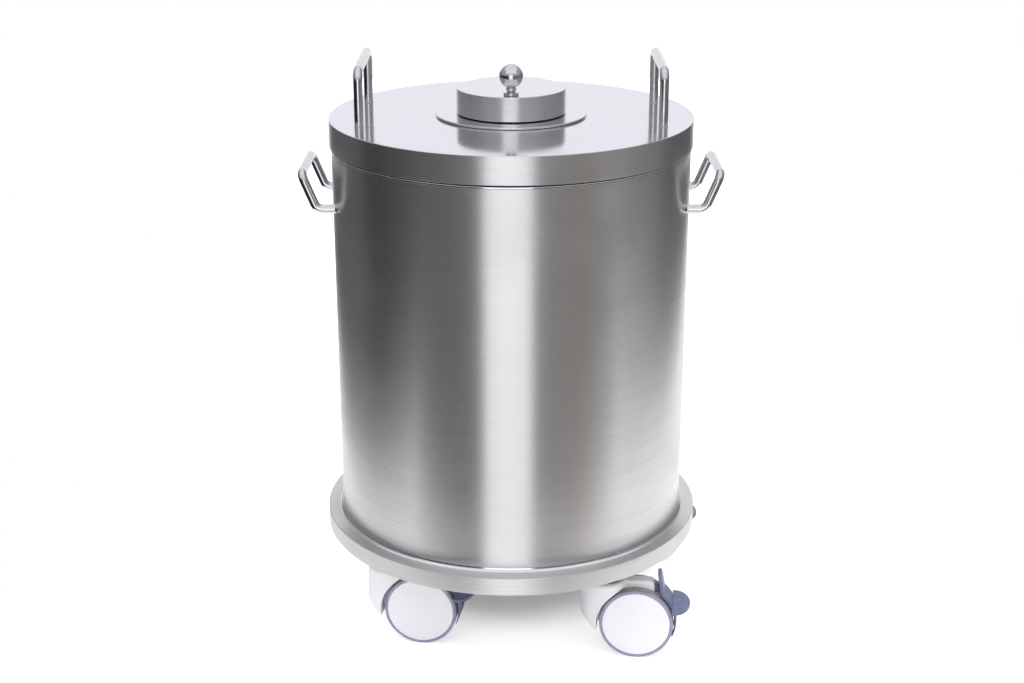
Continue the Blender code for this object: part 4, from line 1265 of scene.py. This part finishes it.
# %% [markdown]
# ### Wheels and mounts
#
# Each wheel is a white disc, slightly domed outside, in a tyre that is cast in two colours: a core that
# shows as a ring, and a tread. A blackened steel mount holds each kingpin under the base.

# %% Sections of wheel, tyre and mount
WHEEL_WIDTH = 0.0155
DISC_BULGE = 0.0006
DISC_EDGE = 0.0008
DISC_THICK = 0.005
TYRE_DEPTH = 0.0041
TYRE_ROUND = 0.0015
TYRE_LIP = 0.0004
TREAD_START = 0.0496
MOUNT_RADIUS = 0.026
KINGPIN_EDGE = 0.0008

wheel_half = WHEEL_WIDTH / 2
wheel_rim = WHEEL_RADIUS - TYRE_DEPTH
bore = AXLE_RADIUS + FIT
disc_corners = [
    (0, wheel_half, 0),
    (wheel_rim, wheel_half - DISC_BULGE, DISC_EDGE),
    (wheel_rim, -wheel_half, EASED_EDGE),
    (bore, -wheel_half, 0),
    (bore, wheel_half - DISC_THICK, 0),
    (0, wheel_half - DISC_THICK, 0),
]
tyre_half = wheel_half - DISC_BULGE
tyre_corners = [
    (wheel_rim + FIT, tyre_half, TYRE_LIP),
    (WHEEL_RADIUS, tyre_half, TYRE_ROUND),
    (WHEEL_RADIUS, -tyre_half, TYRE_ROUND),
    (wheel_rim + FIT, -tyre_half, TYRE_LIP),
]
mount_low, mount_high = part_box("front_left_mount")
mount_step = turret_top + FIT
mount_corners = [
    (0, mount_high[2], 0),
    (MOUNT_RADIUS, mount_high[2], EASED_EDGE),
    (MOUNT_RADIUS, mount_step, EASED_EDGE),
    (KINGPIN_RADIUS, mount_step, 0),
    (KINGPIN_RADIUS, mount_low[2], KINGPIN_EDGE),
    (0, mount_low[2], 0),
]


def tyre_shape():
    """A tyre whose side faces are the paler core and whose outer band is tread."""
    shape = spun(rounded(tyre_corners), WHEEL_SIDES)
    for face in shape.faces:
        centre = face.calc_center_median()
        face.material_index = 1 if math.hypot(centre.x, centre.y) > TREAD_START else 0
    return shape


print("tyre", round(TYRE_DEPTH * 1000, 1), "mm deep on a disc", round(wheel_rim * 2000, 1), "mm across")

# %% Casters in their four places
WHEEL_MIDDLE = 0.01825  # from the caster's middle to the middle of a wheel
MOUNT_SIDES = 64

outward = {"far": Matrix.Identity(4), "near": Matrix.Rotation(math.pi, 4, "Z")}
joints = {joint["name"]: joint for joint in frame["joints"]}
for corner in ("front_left", "front_right", "rear_left", "rear_right"):
    stem = Vector(joints[corner + "_swivel"]["pos_m"])
    across_wheel = joints[corner + "_near_roll"]["axis"]
    yaw = math.atan2(-across_wheel[0], across_wheel[1])
    place = Matrix.Translation((stem.x, stem.y, 0)) @ Matrix.Rotation(yaw, 4, "Z")
    for part, shape, finish, body, slot_name in (
        ("housing", housing, white, "fork", "white_plastic"),
        ("pedal", pedal, blue, "lock", "blue_grey_plastic"),
    ):
        copy = shape.copy()
        copy.transform(place)
        keep(f"visual_{corner}_{part}", copy, [finish], f"{corner}_{body}", [f"{corner}_{part}"])
    mount = spun(rounded(mount_corners, closed=False), MOUNT_SIDES, place)
    keep(f"visual_{corner}_mount", mount, [black], "drum", [f"{corner}_mount"])
    for side, half_turn in outward.items():
        out_from_middle = Matrix.Translation((0, WHEEL_MIDDLE, 0))
        on_side = place @ Matrix.Translation(axle) @ half_turn @ out_from_middle @ Z_TO_Y
        wheel = spun(rounded(disc_corners, closed=False), WHEEL_SIDES, on_side)
        tyre = tyre_shape()
        tyre.transform(on_side)
        node = f"{corner}_{side}_"
        roller = node + "roller"
        keep(f"visual_{node}wheel", wheel, [white], roller, [node + "wheel"])
        keep(f"visual_{node}tyre", tyre, [core, tread], roller, [node + "tyre"])
housing.free()
pedal.free()
print("casters placed")

# %% [markdown]
# ## What stays from the CAD model
#
# The lead, the axles and the knob's stud are sealed in or covered by other pieces, so their CAD shapes
# stay as they are and only get a finish.

# %% Materials for the CAD nodes that stay
stays = {name: lead for name in frame["nodes"] if "lead" in name}
stays.update({name: bar for name in frame["nodes"] if name.endswith("axle") or name == "knob_stud"})
for name, finish in stays.items():
    materials = frame["nodes"][name].data.materials
    materials.clear()
    materials.append(finish)
print("CAD shapes that stay:", len(stays))
